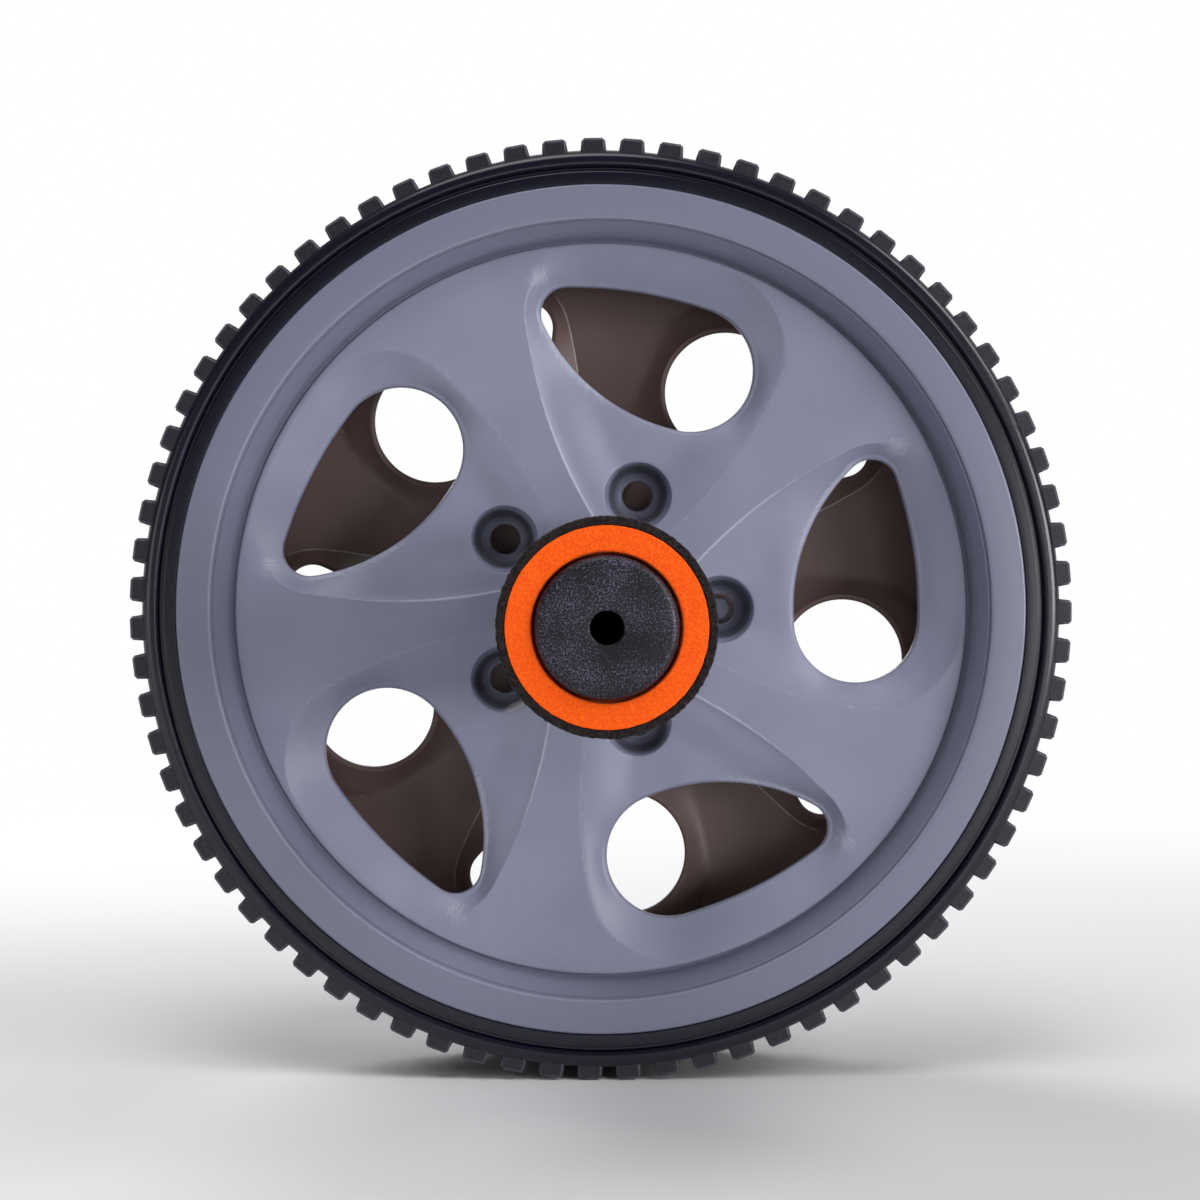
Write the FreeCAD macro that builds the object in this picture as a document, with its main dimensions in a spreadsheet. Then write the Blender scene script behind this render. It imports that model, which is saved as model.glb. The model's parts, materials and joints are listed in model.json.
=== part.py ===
"""Ab wheel roller: a lugged wheel that turns on a steel axle between two foam grips.

Frame: the origin is the wheel's centre, the axle lies along Y, and Z is up.
The front is the -Y side. Lengths are in millimetres and angles in degrees.
"""
import FreeCAD, Part
import math
import os

import Sketcher
from FreeCAD import Placement, Rotation, Vector

FRONT = -1
REAR = 1
SIDE_NAMES = {FRONT: "front", REAR: "rear"}

# Driving dimensions: name, value, meaning
DIMENSIONS = [
    ("wheel_width", 40.0, "rim width over both flanges"),
    ("rim_radius", 83.4, "outside of the rim, under the tyre"),
    ("flange_width", 6.9, "flat outer ring of a wheel half"),
    ("dish_slant", 4.5, "radial run of the wall between flange and spokes"),
    ("dish_depth", 6.5, "depth of the spokes below the flange"),
    ("shell_wall", 2.5, "wall of the moulded halves"),
    ("flange_round", 0.6, "rounding of the flange's inner edge"),
    ("rim_round", 0.5, "rounding of the flange's outer edge"),
    ("hub_radius", 13.0, "outside of the hub tube"),
    ("hub_rise", 2.5, "hub face above the spokes"),
    ("spoke_count", 5, "spokes, windows and bolt cups in a half"),
    ("half_phase", 57.12, "turn between the halves: an angle on one is this minus the other's"),
    ("scoop_depth", 3.5, "depth of a scoop below the spokes"),
    ("scoop_slope", 45.0, "slope of a scoop's sides"),
    ("scoop_rim_gap", 0.3, "scoop's outer side to the dish wall"),
    ("scoop_steep_angle", 92.0, "angle of the corner at the scoop's steep side"),
    ("scoop_steep_round", 13.0, "radius of that corner"),
    ("scoop_steep_side", 98.1, "radius of the scoop's steep side"),
    ("scoop_gentle_angle", 69.5, "angle of the corner at the scoop's gentle side"),
    ("scoop_gentle_round", 17.3, "radius of that corner"),
    ("scoop_gentle_side", 87.2, "radius of the scoop's gentle side"),
    ("scoop_foot_round", 9.7, "radius of the scoop's foot round the bolt cup"),
    ("window_wide_reach", 50.9, "axle to the centre of the window's wide end"),
    ("window_wide_angle", 69.4, "angle of the window's wide end"),
    ("window_wide_round", 12.35, "radius of the wide end"),
    ("window_tip_reach", 59.2, "axle to the centre of the window's narrow tip"),
    ("window_tip_angle", 96.5, "angle of the narrow tip"),
    ("window_tip_round", 5.2, "radius of the narrow tip"),
    ("window_outer_side", 84.5, "radius of the window's outer side"),
    ("window_inner_side", 39.2, "radius of the window's inner side"),
    ("cup_circle", 23.7, "axle to the centre of a bolt cup"),
    ("cup_angle", 72.0, "angle of the bolt cup under the first window"),
    ("cup_tube_radius", 8.4, "outside of a bolt cup's tube"),
    ("cup_mouth_radius", 6.6, "mouth of a bolt cup"),
    ("cup_floor", 2.5, "thickness of a bolt cup's floor"),
    ("cup_taper", 30.0, "slope of a bolt cup's wall to its axis"),
    ("cup_hole_radius", 3.0, "hole in a bolt cup's floor"),
    ("cup_tube_gap", 2.5, "bolt cup's tube to the wheel's mid plane"),
    ("peg_corner_radius", 2.75, "six-sided locating peg over its corners, as a radius"),
    ("peg_short", 0.4, "peg's end below the other half's cup floor"),
    ("tyre_thickness", 6.6, "tyre between the rim and the tread"),
    ("sidewall_band", 2.6, "flat ring of the tyre beside the flange"),
    ("sidewall_groove", 1.0, "width and depth of the groove outside that ring"),
    ("bead_setback", 0.3, "tyre bead behind the flat ring"),
    ("shoulder_chamfer", 1.2, "chamfer at the tyre's shoulder"),
    ("lug_count", 75, "lugs round the tyre"),
    ("lug_phase", 4.42, "angle of the first lug"),
    ("lug_height", 2.5, "lug above the tread"),
    ("lug_root", 0.6, "depth of a lug's root in the tread"),
    ("lug_base", 5.2, "lug width at the tread"),
    ("lug_tip", 3.7, "lug width at its top"),
    ("lug_setback", 0.8, "lug's end behind the flange"),
    ("lug_row_width", 9.0, "axial length of an outer row of lugs"),
    ("lug_row_gap", 1.6, "groove between two rows of lugs"),
    ("axle_radius", 6.0, "axle bar"),
    ("axle_cover", 35.0, "length of a handle beyond the axle"),
    ("bush_radius", 9.0, "outside of a hub bush"),
    ("bush_clearance", 0.05, "running clearance of a bush on the axle"),
    ("bush_gap", 2.0, "bush's inner end to the wheel's mid plane"),
    ("bush_flange_radius", 12.0, "flange of a bush"),
    ("bush_flange", 1.5, "thickness of a bush's flange"),
    ("thrust_gap", 0.3, "end float between bush and washer"),
    ("washer_radius", 11.0, "outside of a thrust washer"),
    ("washer_thickness", 1.0, "thickness of a thrust washer"),
    ("washer_clearance", 0.1, "thrust washer on the axle"),
    ("clip_radius", 8.5, "outside of an axle clip"),
    ("clip_thickness", 1.0, "thickness of an axle clip"),
    ("clip_groove_depth", 0.7, "depth of the axle's groove for a clip"),
    ("clip_clearance", 0.05, "clip in its groove"),
    ("clip_mouth", 7.0, "open side of a clip"),
    ("collar_gap", 0.3, "clip to handle"),
    ("collar_radius", 16.0, "collar at the handle's inner end"),
    ("collar_thickness", 3.0, "thickness of that collar"),
    ("core_radius", 11.5, "outside of the handle under the foam"),
    ("core_round", 1.6, "rounding of the handle's outer end"),
    ("core_proud", 1.5, "handle's end beyond the grip"),
    ("end_hole_radius", 2.7, "hole in the handle's end"),
    ("grip_length", 110.4, "length of the foam grip"),
    ("foam_thickness", 4.6, "orange foam layer"),
    ("skin_thickness", 1.2, "black outer layer"),
    ("layer_clearance", 0.1, "gap between the grip's layers"),
]

# Stations along the axle, as expressions. Those of a wheel half are for the front half.
FLANGE_Y = "(-dims.wheel_width / 2)"
SPOKE_Y = f"({FLANGE_Y} + dims.dish_depth)"
INNER_Y = f"({SPOKE_Y} + dims.shell_wall)"
FLOOR_Y = f"({SPOKE_Y} + dims.scoop_depth)"
HUB_Y = f"({SPOKE_Y} - dims.hub_rise)"
CUP_FLOOR_Y = "(-dims.cup_tube_gap - dims.cup_floor)"

# Distances from the mid plane, the same on both sides, as expressions
BUSH_FACE = f"(-{HUB_Y} + dims.bush_flange)"
WASHER_IN = f"({BUSH_FACE} + dims.thrust_gap)"
WASHER_OUT = f"({WASHER_IN} + dims.washer_thickness)"
CLIP_OUT = f"({WASHER_OUT} + dims.clip_thickness)"
CORE_IN = f"({CLIP_OUT} + dims.collar_gap)"
GRIP_IN = f"({CORE_IN} + dims.collar_thickness)"
GRIP_OUT = f"({GRIP_IN} + dims.grip_length)"
CORE_OUT = f"({GRIP_OUT} + dims.core_proud)"
AXLE_OUT = f"({CORE_OUT} - dims.axle_cover)"

# Radii as expressions
DISH_R = "(dims.rim_radius - dims.flange_width)"
DISC_R = f"({DISH_R} - dims.dish_slant)"
SCOOP_R = f"({DISC_R} - dims.scoop_rim_gap)"
CLIP_SEAT_R = "(dims.axle_radius - dims.clip_groove_depth)"
FOAM_IN_R = "(dims.core_radius + dims.layer_clearance)"
FOAM_OUT_R = f"({FOAM_IN_R} + dims.foam_thickness)"
SKIN_IN_R = f"({FOAM_OUT_R} + dims.layer_clearance)"
SKIN_OUT_R = f"({SKIN_IN_R} + dims.skin_thickness)"
TREAD_R = "(dims.rim_radius + dims.tyre_thickness)"
LUG_TIP_R = f"({TREAD_R} + dims.lug_height)"
LUG_ROOT_R = f"({TREAD_R} - dims.lug_root)"

doc = FreeCAD.newDocument("ab_wheel_roller")


def make_sheet():
    """Write the driving dimensions into a sheet, one aliased cell each."""
    sheet = doc.addObject("Spreadsheet::Sheet", "dims")
    for row, (alias, value, meaning) in enumerate(DIMENSIONS, start=1):
        sheet.set(f"A{row}", meaning)
        sheet.set(f"B{row}", str(value))
        sheet.setAlias(f"B{row}", alias)
    doc.recompute()
    return sheet


dims = make_sheet()


def number(text):
    """Return the present value of an expression in the sheet's aliases."""
    value = dims.evalExpression(str(text))
    return float(getattr(value, "Value", value))


def polar(reach, angle):
    """Return the X and Z expressions of a point at a distance and angle about the axle."""
    return f"{reach} * cos({angle})", f"{reach} * sin({angle})"


def make_body(label):
    """Add an empty body whose label names its file."""
    body = doc.addObject("PartDesign::Body", label)
    body.Label = label
    return body


def origin_feature(body, role):
    """Return one of a body's origin planes or axes."""
    return next(item for item in body.Origin.OriginFeatures if item.Role == role)


def make_sketch(body, name, plane, offset="0"):
    """Add a sketch on an origin plane, moved along the plane's normal."""
    sketch = body.newObject("Sketcher::SketchObject", f"{body.Label}_{name}")
    sketch.AttachmentSupport = [(origin_feature(body, plane), "")]
    sketch.MapMode = "FlatFace"
    sketch.setExpression("AttachmentOffset.Base.z", offset)
    return sketch


def pin_point(sketch, geometry, point, x_text, y_text):
    """Fix a sketch point's coordinates to two expressions."""
    for kind, text in (("DistanceX", x_text), ("DistanceY", y_text)):
        rule = Sketcher.Constraint(kind, -1, 1, geometry, point, number(text))
        index = sketch.addConstraint(rule)
        sketch.setExpression(f"Constraints[{index}]", text)


def pin_radius(sketch, geometry, text):
    """Fix the radius of a sketch circle or arc to an expression."""
    index = sketch.addConstraint(Sketcher.Constraint("Radius", geometry, number(text)))
    sketch.setExpression(f"Constraints[{index}]", text)


def add_polygon(sketch, points):
    """Draw a closed polygon through points given as pairs of expressions."""
    first = sketch.GeometryCount
    corners = [Vector(number(x), number(y), 0) for x, y in points]
    count = len(corners)
    for index, corner in enumerate(corners):
        sketch.addGeometry(Part.LineSegment(corner, corners[(index + 1) % count]), False)
    for index in range(count):
        following = first + (index + 1) % count
        sketch.addConstraint(Sketcher.Constraint("Coincident", first + index, 2, following, 1))
    for index, (x_text, y_text) in enumerate(points):
        pin_point(sketch, first + index, 1, x_text, y_text)


def add_circle(sketch, x_text, y_text, radius_text):
    """Draw a circle from expressions."""
    centre = Vector(number(x_text), number(y_text), 0)
    index = sketch.addGeometry(Part.Circle(centre, Vector(0, 0, 1), number(radius_text)), False)
    pin_point(sketch, index, 3, x_text, y_text)
    pin_radius(sketch, index, radius_text)


def side_centre(start, start_radius, end, end_radius, radius):
    """Return the centre of a wide arc that touches two corner circles from outside their loop."""
    to_start = radius - start_radius
    to_end = radius - end_radius
    span = end - start
    along = (to_start ** 2 - to_end ** 2 + span.Length ** 2) / (2 * span.Length)
    across = math.sqrt(to_start ** 2 - along ** 2)
    direction = span / span.Length
    return start + direction * along + Vector(-direction.y, direction.x, 0) * across


def add_rounded_loop(sketch, corners, sides):
    """Draw a convex loop of tangent arcs.

    corners: corner circles, anticlockwise, as (x, y, radius) expressions.
    sides: radius expression of the wide arc from each corner to the next.
    """
    count = len(corners)
    centres = [Vector(number(x), number(y), 0) for x, y, _ in corners]
    radii = [number(radius) for _, _, radius in corners]
    wide = []
    for index in range(count):
        following = (index + 1) % count
        wide.append(side_centre(centres[index], radii[index], centres[following], radii[following],
                                number(sides[index])))
    first = sketch.GeometryCount
    for index in range(count):
        following = (index + 1) % count
        corner_start = centres[index] - wide[index - 1]
        corner_end = centres[index] - wide[index]
        side_end = centres[following] - wide[index]
        arcs = [(centres[index], radii[index], corner_start, corner_end),
                (wide[index], number(sides[index]), corner_end, side_end)]
        for centre, radius, start, end in arcs:
            start_angle = math.atan2(start.y, start.x)
            end_angle = math.atan2(end.y, end.x)
            circle = Part.Circle(centre, Vector(0, 0, 1), radius)
            sketch.addGeometry(Part.ArcOfCircle(circle, start_angle, end_angle), False)
    total = 2 * count
    for index in range(total):
        following = first + (index + 1) % total
        sketch.addConstraint(Sketcher.Constraint("Tangent", first + index, 2, following, 1))
    for index, (x_text, y_text, radius_text) in enumerate(corners):
        pin_point(sketch, first + 2 * index, 3, x_text, y_text)
        pin_radius(sketch, first + 2 * index, radius_text)
        pin_radius(sketch, first + 2 * index + 1, sides[index])


def add_feature(body, kind, name, sketch=None, **settings):
    """Add a feature to a body. A text setting is an expression, except for options."""
    feature = body.newObject(f"PartDesign::{kind}", f"{body.Label}_{name}")
    if sketch is not None:
        feature.Profile = sketch
    for key, value in settings.items():
        if key in ("Length", "TaperAngle", "Occurrences", "Radius"):
            feature.setExpression(key, value)
        else:
            setattr(feature, key, value)
    return feature


def add_pattern(body, name, originals, count):
    """Repeat features evenly round the axle."""
    pattern = add_feature(body, "PolarPattern", name, Originals=originals, Angle=360,
                          Axis=(origin_feature(body, "Y_Axis"), [""]), Occurrences=count)
    body.Tip = pattern
    return pattern


def revolve(body, name, loops, kind="Revolution"):
    """Turn closed (radius, y) loops round the axle."""
    sketch = make_sketch(body, f"{name}_section", "XY_Plane")
    for points in loops:
        add_polygon(sketch, points)
    return add_feature(body, kind, name, sketch, ReferenceAxis=(sketch, ["V_Axis"]), Angle=360)


def round_edges(body, name, base, circles, radius):
    """Round the circular edges of a body, each found by its radius and station."""
    doc.recompute()
    wanted = [(number(reach), number(station)) for reach, station in circles]
    names = []
    for index, edge in enumerate(base.Shape.Edges, start=1):
        curve = edge.Curve
        if not isinstance(curve, Part.Circle):
            continue
        here = (curve.Radius, curve.Center.y)
        if any(math.dist(here, there) < 0.01 for there in wanted):
            names.append(f"Edge{index}")
    return add_feature(body, "Fillet", name, Base=(base, names), Radius=radius)


def ring_loop(side, inner, outer, near, far):
    """Return the section of a plain ring on one side of the mid plane."""
    return [(inner, f"{side} * {near}"), (outer, f"{side} * {near}"),
            (outer, f"{side} * {far}"), (inner, f"{side} * {far}")]


def scoop_sketch(body, name, station):
    """Draw the scoop's outline round the first window, on a plane across the axle."""
    sketch = make_sketch(body, name, "XZ_Plane", f"-{station}")
    foot = polar("dims.cup_circle", "dims.cup_angle")
    gentle = polar(f"({SCOOP_R} - dims.scoop_gentle_round)", "dims.scoop_gentle_angle")
    steep = polar(f"({SCOOP_R} - dims.scoop_steep_round)", "dims.scoop_steep_angle")
    corners = [(*foot, "dims.scoop_foot_round"),
               (*gentle, "dims.scoop_gentle_round"),
               (*steep, "dims.scoop_steep_round")]
    add_rounded_loop(sketch, corners, ["dims.scoop_gentle_side", SCOOP_R, "dims.scoop_steep_side"])
    return sketch


def window_sketch(body):
    """Draw the first window's egg-shaped outline."""
    sketch = make_sketch(body, "window_outline", "XZ_Plane", f"-{FLANGE_Y}")
    wide = polar("dims.window_wide_reach", "dims.window_wide_angle")
    tip = polar("dims.window_tip_reach", "dims.window_tip_angle")
    corners = [(*wide, "dims.window_wide_round"), (*tip, "dims.window_tip_round")]
    add_rounded_loop(sketch, corners, ["dims.window_outer_side", "dims.window_inner_side"])
    return sketch


def cup_sketch(body, name, station, radius):
    """Draw a circle at the first bolt cup."""
    sketch = make_sketch(body, name, "XZ_Plane", f"-{station}")
    add_circle(sketch, *polar("dims.cup_circle", "dims.cup_angle"), radius)
    return sketch


def peg_sketch(body):
    """Draw the six-sided locating peg, which stands opposite a cup of the other half."""
    sketch = make_sketch(body, "peg_outline", "XZ_Plane", f"-{INNER_Y}")
    centre_x, centre_z = polar("dims.cup_circle", "dims.half_phase")
    points = []
    for corner in range(6):
        step_x, step_z = polar("dims.peg_corner_radius", f"{corner * 60} deg")
        points.append((f"{centre_x} + {step_x}", f"{centre_z} + {step_z}"))
    add_polygon(sketch, points)
    return sketch


def make_shell(label, turned):
    """Build a moulded wheel half. The rear half is the same moulding, turned over about a radius."""
    body = make_body(label)
    slant = "dims.shell_wall * tan((90 deg - atan(dims.dish_slant / dims.dish_depth)) / 2)"
    rim_in = "dims.rim_radius - dims.shell_wall"
    section = [("dims.bush_radius", HUB_Y),
               ("dims.hub_radius", HUB_Y),
               ("dims.hub_radius", SPOKE_Y),
               (DISC_R, SPOKE_Y),
               (DISH_R, FLANGE_Y),
               ("dims.rim_radius", FLANGE_Y),
               ("dims.rim_radius", "0"),
               (rim_in, "0"),
               (rim_in, f"{FLANGE_Y} + dims.shell_wall"),
               (f"{DISH_R} + {slant}", f"{FLANGE_Y} + dims.shell_wall"),
               (f"{DISC_R} + {slant}", INNER_Y),
               ("dims.hub_radius", INNER_Y),
               ("dims.hub_radius", "0"),
               ("dims.bush_radius", "0")]
    revolve(body, "dish", [section])

    # Material behind the scoops and bolt cups, so that the wall stays even
    backing_outline = scoop_sketch(body, "backing_outline", INNER_Y)
    backing = add_feature(body, "Pad", "scoop_backing", backing_outline, Length="dims.scoop_depth",
                          TaperAngle="-dims.scoop_slope", Reversed=True)
    tube_outline = cup_sketch(body, "tube_outline", INNER_Y, "dims.cup_tube_radius")
    tube = add_feature(body, "Pad", "cup_tube", tube_outline,
                       Length=f"-{INNER_Y} - dims.cup_tube_gap", Reversed=True)
    add_pattern(body, "backings", [backing, tube], "dims.spoke_count")
    add_feature(body, "Pad", "peg", peg_sketch(body),
                Length=f"-{INNER_Y} - {CUP_FLOOR_Y} - dims.peg_short", Reversed=True)

    # Cuts from the outside: scoops, windows, bolt cups and their holes
    scoop_outline = scoop_sketch(body, "scoop_outline", SPOKE_Y)
    scoop = add_feature(body, "Pocket", "scoop", scoop_outline,
                        Length="dims.scoop_depth", TaperAngle="-dims.scoop_slope")
    window = add_feature(body, "Pocket", "window", window_sketch(body), Length=f"-{FLANGE_Y}")
    cup_outline = cup_sketch(body, "cup_outline", FLOOR_Y, "dims.cup_mouth_radius")
    cup = add_feature(body, "Pocket", "cup", cup_outline,
                      Length=f"{CUP_FLOOR_Y} - {FLOOR_Y}", TaperAngle="-dims.cup_taper")
    hole_outline = cup_sketch(body, "hole_outline", FLOOR_Y, "dims.cup_hole_radius")
    hole = add_feature(body, "Pocket", "cup_hole", hole_outline, Length=f"-{FLOOR_Y}")
    cuts = add_pattern(body, "cuts", [scoop, window, cup, hole], "dims.spoke_count")
    inner = round_edges(body, "flange_inner_round", cuts, [(DISH_R, FLANGE_Y)], "dims.flange_round")
    round_edges(body, "flange_outer_round", inner, [("dims.rim_radius", FLANGE_Y)], "dims.rim_round")
    if turned:
        half_turn = math.radians(number("dims.half_phase") / 2)
        radius_line = Vector(math.cos(half_turn), 0, math.sin(half_turn))
        body.Placement = Placement(Vector(), Rotation(radius_line, 180))
    return body


def make_tyre():
    """Build the tyre: a ring with grooved sidewalls and rows of lugs."""
    body = make_body("tyre")
    band_r = "(dims.rim_radius + dims.sidewall_band)"
    bead_y = f"({FLANGE_Y} + dims.bead_setback)"
    sidewall = [("dims.rim_radius", FLANGE_Y),
                (band_r, FLANGE_Y),
                (f"{band_r} + dims.sidewall_groove / 2", f"{FLANGE_Y} + dims.sidewall_groove"),
                (f"{band_r} + dims.sidewall_groove", bead_y),
                (f"{TREAD_R} - dims.shoulder_chamfer", bead_y),
                (TREAD_R, f"{bead_y} + dims.shoulder_chamfer")]
    other_side = [(reach, f"-({station})") for reach, station in reversed(sidewall)]
    revolve(body, "ring", [sidewall + other_side])

    sketch = make_sketch(body, "lug_outline", "XZ_Plane")
    outline = []
    for reach, width in ((LUG_ROOT_R, "dims.lug_base"), (LUG_TIP_R, "dims.lug_tip")):
        centre_x, centre_z = polar(reach, "dims.lug_phase")
        across_x = f"{width} / 2 * sin(dims.lug_phase)"
        across_z = f"{width} / 2 * cos(dims.lug_phase)"
        outline.append([(f"{centre_x} + {across_x}", f"{centre_z} - {across_z}"),
                        (f"{centre_x} - {across_x}", f"{centre_z} + {across_z}")])
    add_polygon(sketch, outline[0] + outline[1][::-1])
    lug = add_feature(body, "Pad", "lug", sketch, SideType="Symmetric",
                      Length="dims.wheel_width - 2 * dims.lug_setback")
    add_pattern(body, "lugs", [lug], "dims.lug_count")

    gap_out = "(dims.wheel_width / 2 - dims.lug_setback - dims.lug_row_width)"
    above_lugs = f"{LUG_TIP_R} + dims.lug_height"
    gap_in = f"({gap_out} - dims.lug_row_gap)"
    gaps = [ring_loop(side, TREAD_R, above_lugs, gap_in, gap_out) for side in (FRONT, REAR)]
    revolve(body, "row_gaps", gaps, kind="Groove")
    return body


def make_bush(side):
    """Build a flanged plain bearing, pressed into the hub from outside."""
    body = make_body(f"hub_bush_{SIDE_NAMES[side]}")
    bore = "dims.axle_radius + dims.bush_clearance"
    hub_face = f"(-{HUB_Y})"
    inner_end = f"{side} * dims.bush_gap"
    section = [(bore, inner_end),
               ("dims.bush_radius", inner_end),
               ("dims.bush_radius", f"{side} * {hub_face}"),
               ("dims.bush_flange_radius", f"{side} * {hub_face}"),
               ("dims.bush_flange_radius", f"{side} * {BUSH_FACE}"),
               (bore, f"{side} * {BUSH_FACE}")]
    revolve(body, "sleeve", [section])
    return body


def make_axle():
    """Build the axle bar with a clip groove near each handle."""
    body = make_body("axle")
    section = [("0", f"-{AXLE_OUT}"), ("dims.axle_radius", f"-{AXLE_OUT}"),
               ("dims.axle_radius", AXLE_OUT), ("0", AXLE_OUT)]
    revolve(body, "bar", [section])
    above_bar = "dims.axle_radius + dims.clip_groove_depth"
    grooves = [ring_loop(side, CLIP_SEAT_R, above_bar, f"({WASHER_OUT} - dims.clip_clearance)",
                         f"({CLIP_OUT} + dims.clip_clearance)")
               for side in (FRONT, REAR)]
    revolve(body, "clip_grooves", grooves, kind="Groove")
    return body


def make_washer(side):
    """Build the thrust washer between a bush and its clip."""
    body = make_body(f"thrust_washer_{SIDE_NAMES[side]}")
    bore = "dims.axle_radius + dims.washer_clearance"
    revolve(body, "disc", [ring_loop(side, bore, "dims.washer_radius", WASHER_IN, WASHER_OUT)])
    return body


def make_clip(side):
    """Build the spring clip in an axle groove: a flat ring with an open side."""
    body = make_body(f"axle_clip_{SIDE_NAMES[side]}")
    seat = f"({CLIP_SEAT_R} + dims.clip_clearance)"
    revolve(body, "ring", [ring_loop(side, seat, "dims.clip_radius", WASHER_OUT, CLIP_OUT)])
    sketch = make_sketch(body, "mouth_outline", "XZ_Plane", f"{-side} * {CLIP_OUT}")
    half = "dims.clip_mouth / 2"
    below = "-2 * dims.clip_radius"
    add_polygon(sketch, [(f"-{half}", below), (half, below), (half, "0"), (f"-{half}", "0")])
    add_feature(body, "Pocket", "mouth", sketch, Length="dims.clip_thickness", Reversed=side == REAR)
    return body


def make_core(side):
    """Build a handle: a collar, a long sleeve on the axle and an end wall with a small hole."""
    body = make_body(f"handle_core_{SIDE_NAMES[side]}")
    section = [("dims.axle_radius", f"{side} * {CORE_IN}"),
               ("dims.collar_radius", f"{side} * {CORE_IN}"),
               ("dims.collar_radius", f"{side} * {GRIP_IN}"),
               ("dims.core_radius", f"{side} * {GRIP_IN}"),
               ("dims.core_radius", f"{side} * {CORE_OUT}"),
               ("dims.end_hole_radius", f"{side} * {CORE_OUT}"),
               ("dims.end_hole_radius", f"{side} * {AXLE_OUT}"),
               ("dims.axle_radius", f"{side} * {AXLE_OUT}")]
    sleeve = revolve(body, "sleeve", [section])
    end_edge = ("dims.core_radius", f"{side} * {CORE_OUT}")
    round_edges(body, "end_round", sleeve, [end_edge], "dims.core_round")
    return body


def make_layer(name, side, inner, outer):
    """Build one tubular layer of a foam grip."""
    body = make_body(f"{name}_{SIDE_NAMES[side]}")
    revolve(body, "layer", [ring_loop(side, inner, outer, GRIP_IN, GRIP_OUT)])
    return body


def build_pieces():
    """Build every piece of the roller."""
    pieces = [make_shell("wheel_shell_front", turned=False),
              make_shell("wheel_shell_rear", turned=True),
              make_tyre(),
              make_axle()]
    for side in (FRONT, REAR):
        pieces.append(make_bush(side))
        pieces.append(make_washer(side))
        pieces.append(make_clip(side))
        pieces.append(make_core(side))
        pieces.append(make_layer("foam_sleeve", side, FOAM_IN_R, FOAM_OUT_R))
        pieces.append(make_layer("grip_skin", side, SKIN_IN_R, SKIN_OUT_R))
    return pieces


def check_pieces(pieces):
    """Stop if a feature failed or a piece is not one valid solid."""
    for item in doc.Objects:
        if "Invalid" in item.State or "Error" in item.State:
            raise RuntimeError(f"{item.Label}: {item.State}")
    for piece in pieces:
        shape = piece.Shape
        if shape.isNull() or not shape.isValid() or len(shape.Solids) != 1:
            raise RuntimeError(f"{piece.Label}: not one valid solid")
        print(f"{piece.Label}: {shape.Volume / 1000:.2f} cm3")


def write_pieces(pieces):
    """Write each piece to its own file."""
    os.makedirs("parts", exist_ok=True)
    for piece in pieces:
        piece.Shape.exportStep(f"parts/{piece.Label}.step")


all_pieces = build_pieces()
doc.recompute()
check_pieces(all_pieces)
write_pieces(all_pieces)
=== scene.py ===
"""Looks of the ab wheel roller: meshes, finishes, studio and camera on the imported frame.

The frame is the CAD's: the origin is the wheel's centre, the axle lies along Y and Z is up.
Sizes are in millimetres and angles in degrees, and meshes are made in metres.
"""

import json
import logging
import math
from dataclasses import dataclass
from enum import Enum, IntEnum
from typing import Callable, Sequence

import bmesh
import bpy
import numpy as np
from bpy.types import Material, Node, NodeSocket, NodeTree, Object
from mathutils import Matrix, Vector, noise


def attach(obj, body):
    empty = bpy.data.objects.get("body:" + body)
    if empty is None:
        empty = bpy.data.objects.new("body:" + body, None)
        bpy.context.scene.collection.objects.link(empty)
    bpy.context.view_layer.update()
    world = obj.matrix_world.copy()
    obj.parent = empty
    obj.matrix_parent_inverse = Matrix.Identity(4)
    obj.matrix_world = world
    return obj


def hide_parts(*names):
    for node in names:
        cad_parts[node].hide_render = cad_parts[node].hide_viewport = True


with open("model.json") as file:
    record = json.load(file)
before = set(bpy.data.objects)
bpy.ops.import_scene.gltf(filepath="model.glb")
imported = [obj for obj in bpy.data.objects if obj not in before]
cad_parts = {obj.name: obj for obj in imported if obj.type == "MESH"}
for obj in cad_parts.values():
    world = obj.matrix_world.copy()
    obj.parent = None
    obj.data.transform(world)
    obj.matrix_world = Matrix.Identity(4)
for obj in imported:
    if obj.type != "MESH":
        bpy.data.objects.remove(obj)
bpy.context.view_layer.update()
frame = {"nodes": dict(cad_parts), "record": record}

MM = 0.001
# Points closer than this, in millimetres, are welded
WELD = 0.002
# Edges bent by more degrees than this stay sharp
SHARP = 40.0
# A corner whose half angle is over this many degrees counts as straight
STRAIGHT = 89.0
# Angles at which a rounded edge has its points
QUARTER_TURN = (90.0, 67.5, 45.0, 22.5, 0.0)
# Keeps a share of nothing from dividing by zero
TINY = 1e-9
# Mesh attribute of abrasion and painted highlight, which the pale tone of the shell's plastics follows
WEAR_AND_HIGHLIGHT = "edge_wear_and_highlight"
SMOOTH = {"interpolation_type": "SMOOTHSTEP"}
log = logging.getLogger("ab_wheel_roller")


class Side(Enum):
    """The two ends of the axle, by the sign of their Y."""

    FRONT = -1
    REAR = 1

    @property
    def word(self) -> str:
        """The side's name as the nodes spell it."""
        return self.name.lower()


class ShellSlot(IntEnum):
    """Material numbers of a wheel half."""

    OUTSIDE = 0
    INSIDE = 1


class TyreSlot(IntEnum):
    """Material numbers of the tyre."""

    BAND = 0
    LUG = 1
    EDGE = 2


def linear(hex_colour: str) -> tuple[float, float, float, float]:
    """Turns an sRGB colour into linear light.

    Args:
        hex_colour: Six hex digits with a leading hash.

    Returns:
        Linear red, green and blue with an alpha of one.
    """
    values = [int(hex_colour[index:index + 2], 16) / 255 for index in (1, 3, 5)]
    lit = [value / 12.92 if value <= 0.04045 else ((value + 0.055) / 1.055) ** 2.4 for value in values]
    return lit[0], lit[1], lit[2], 1.0


def per_metre(size: float) -> float:
    """Texture scale that gives features of a size in millimetres."""
    return 1000 / size


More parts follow.
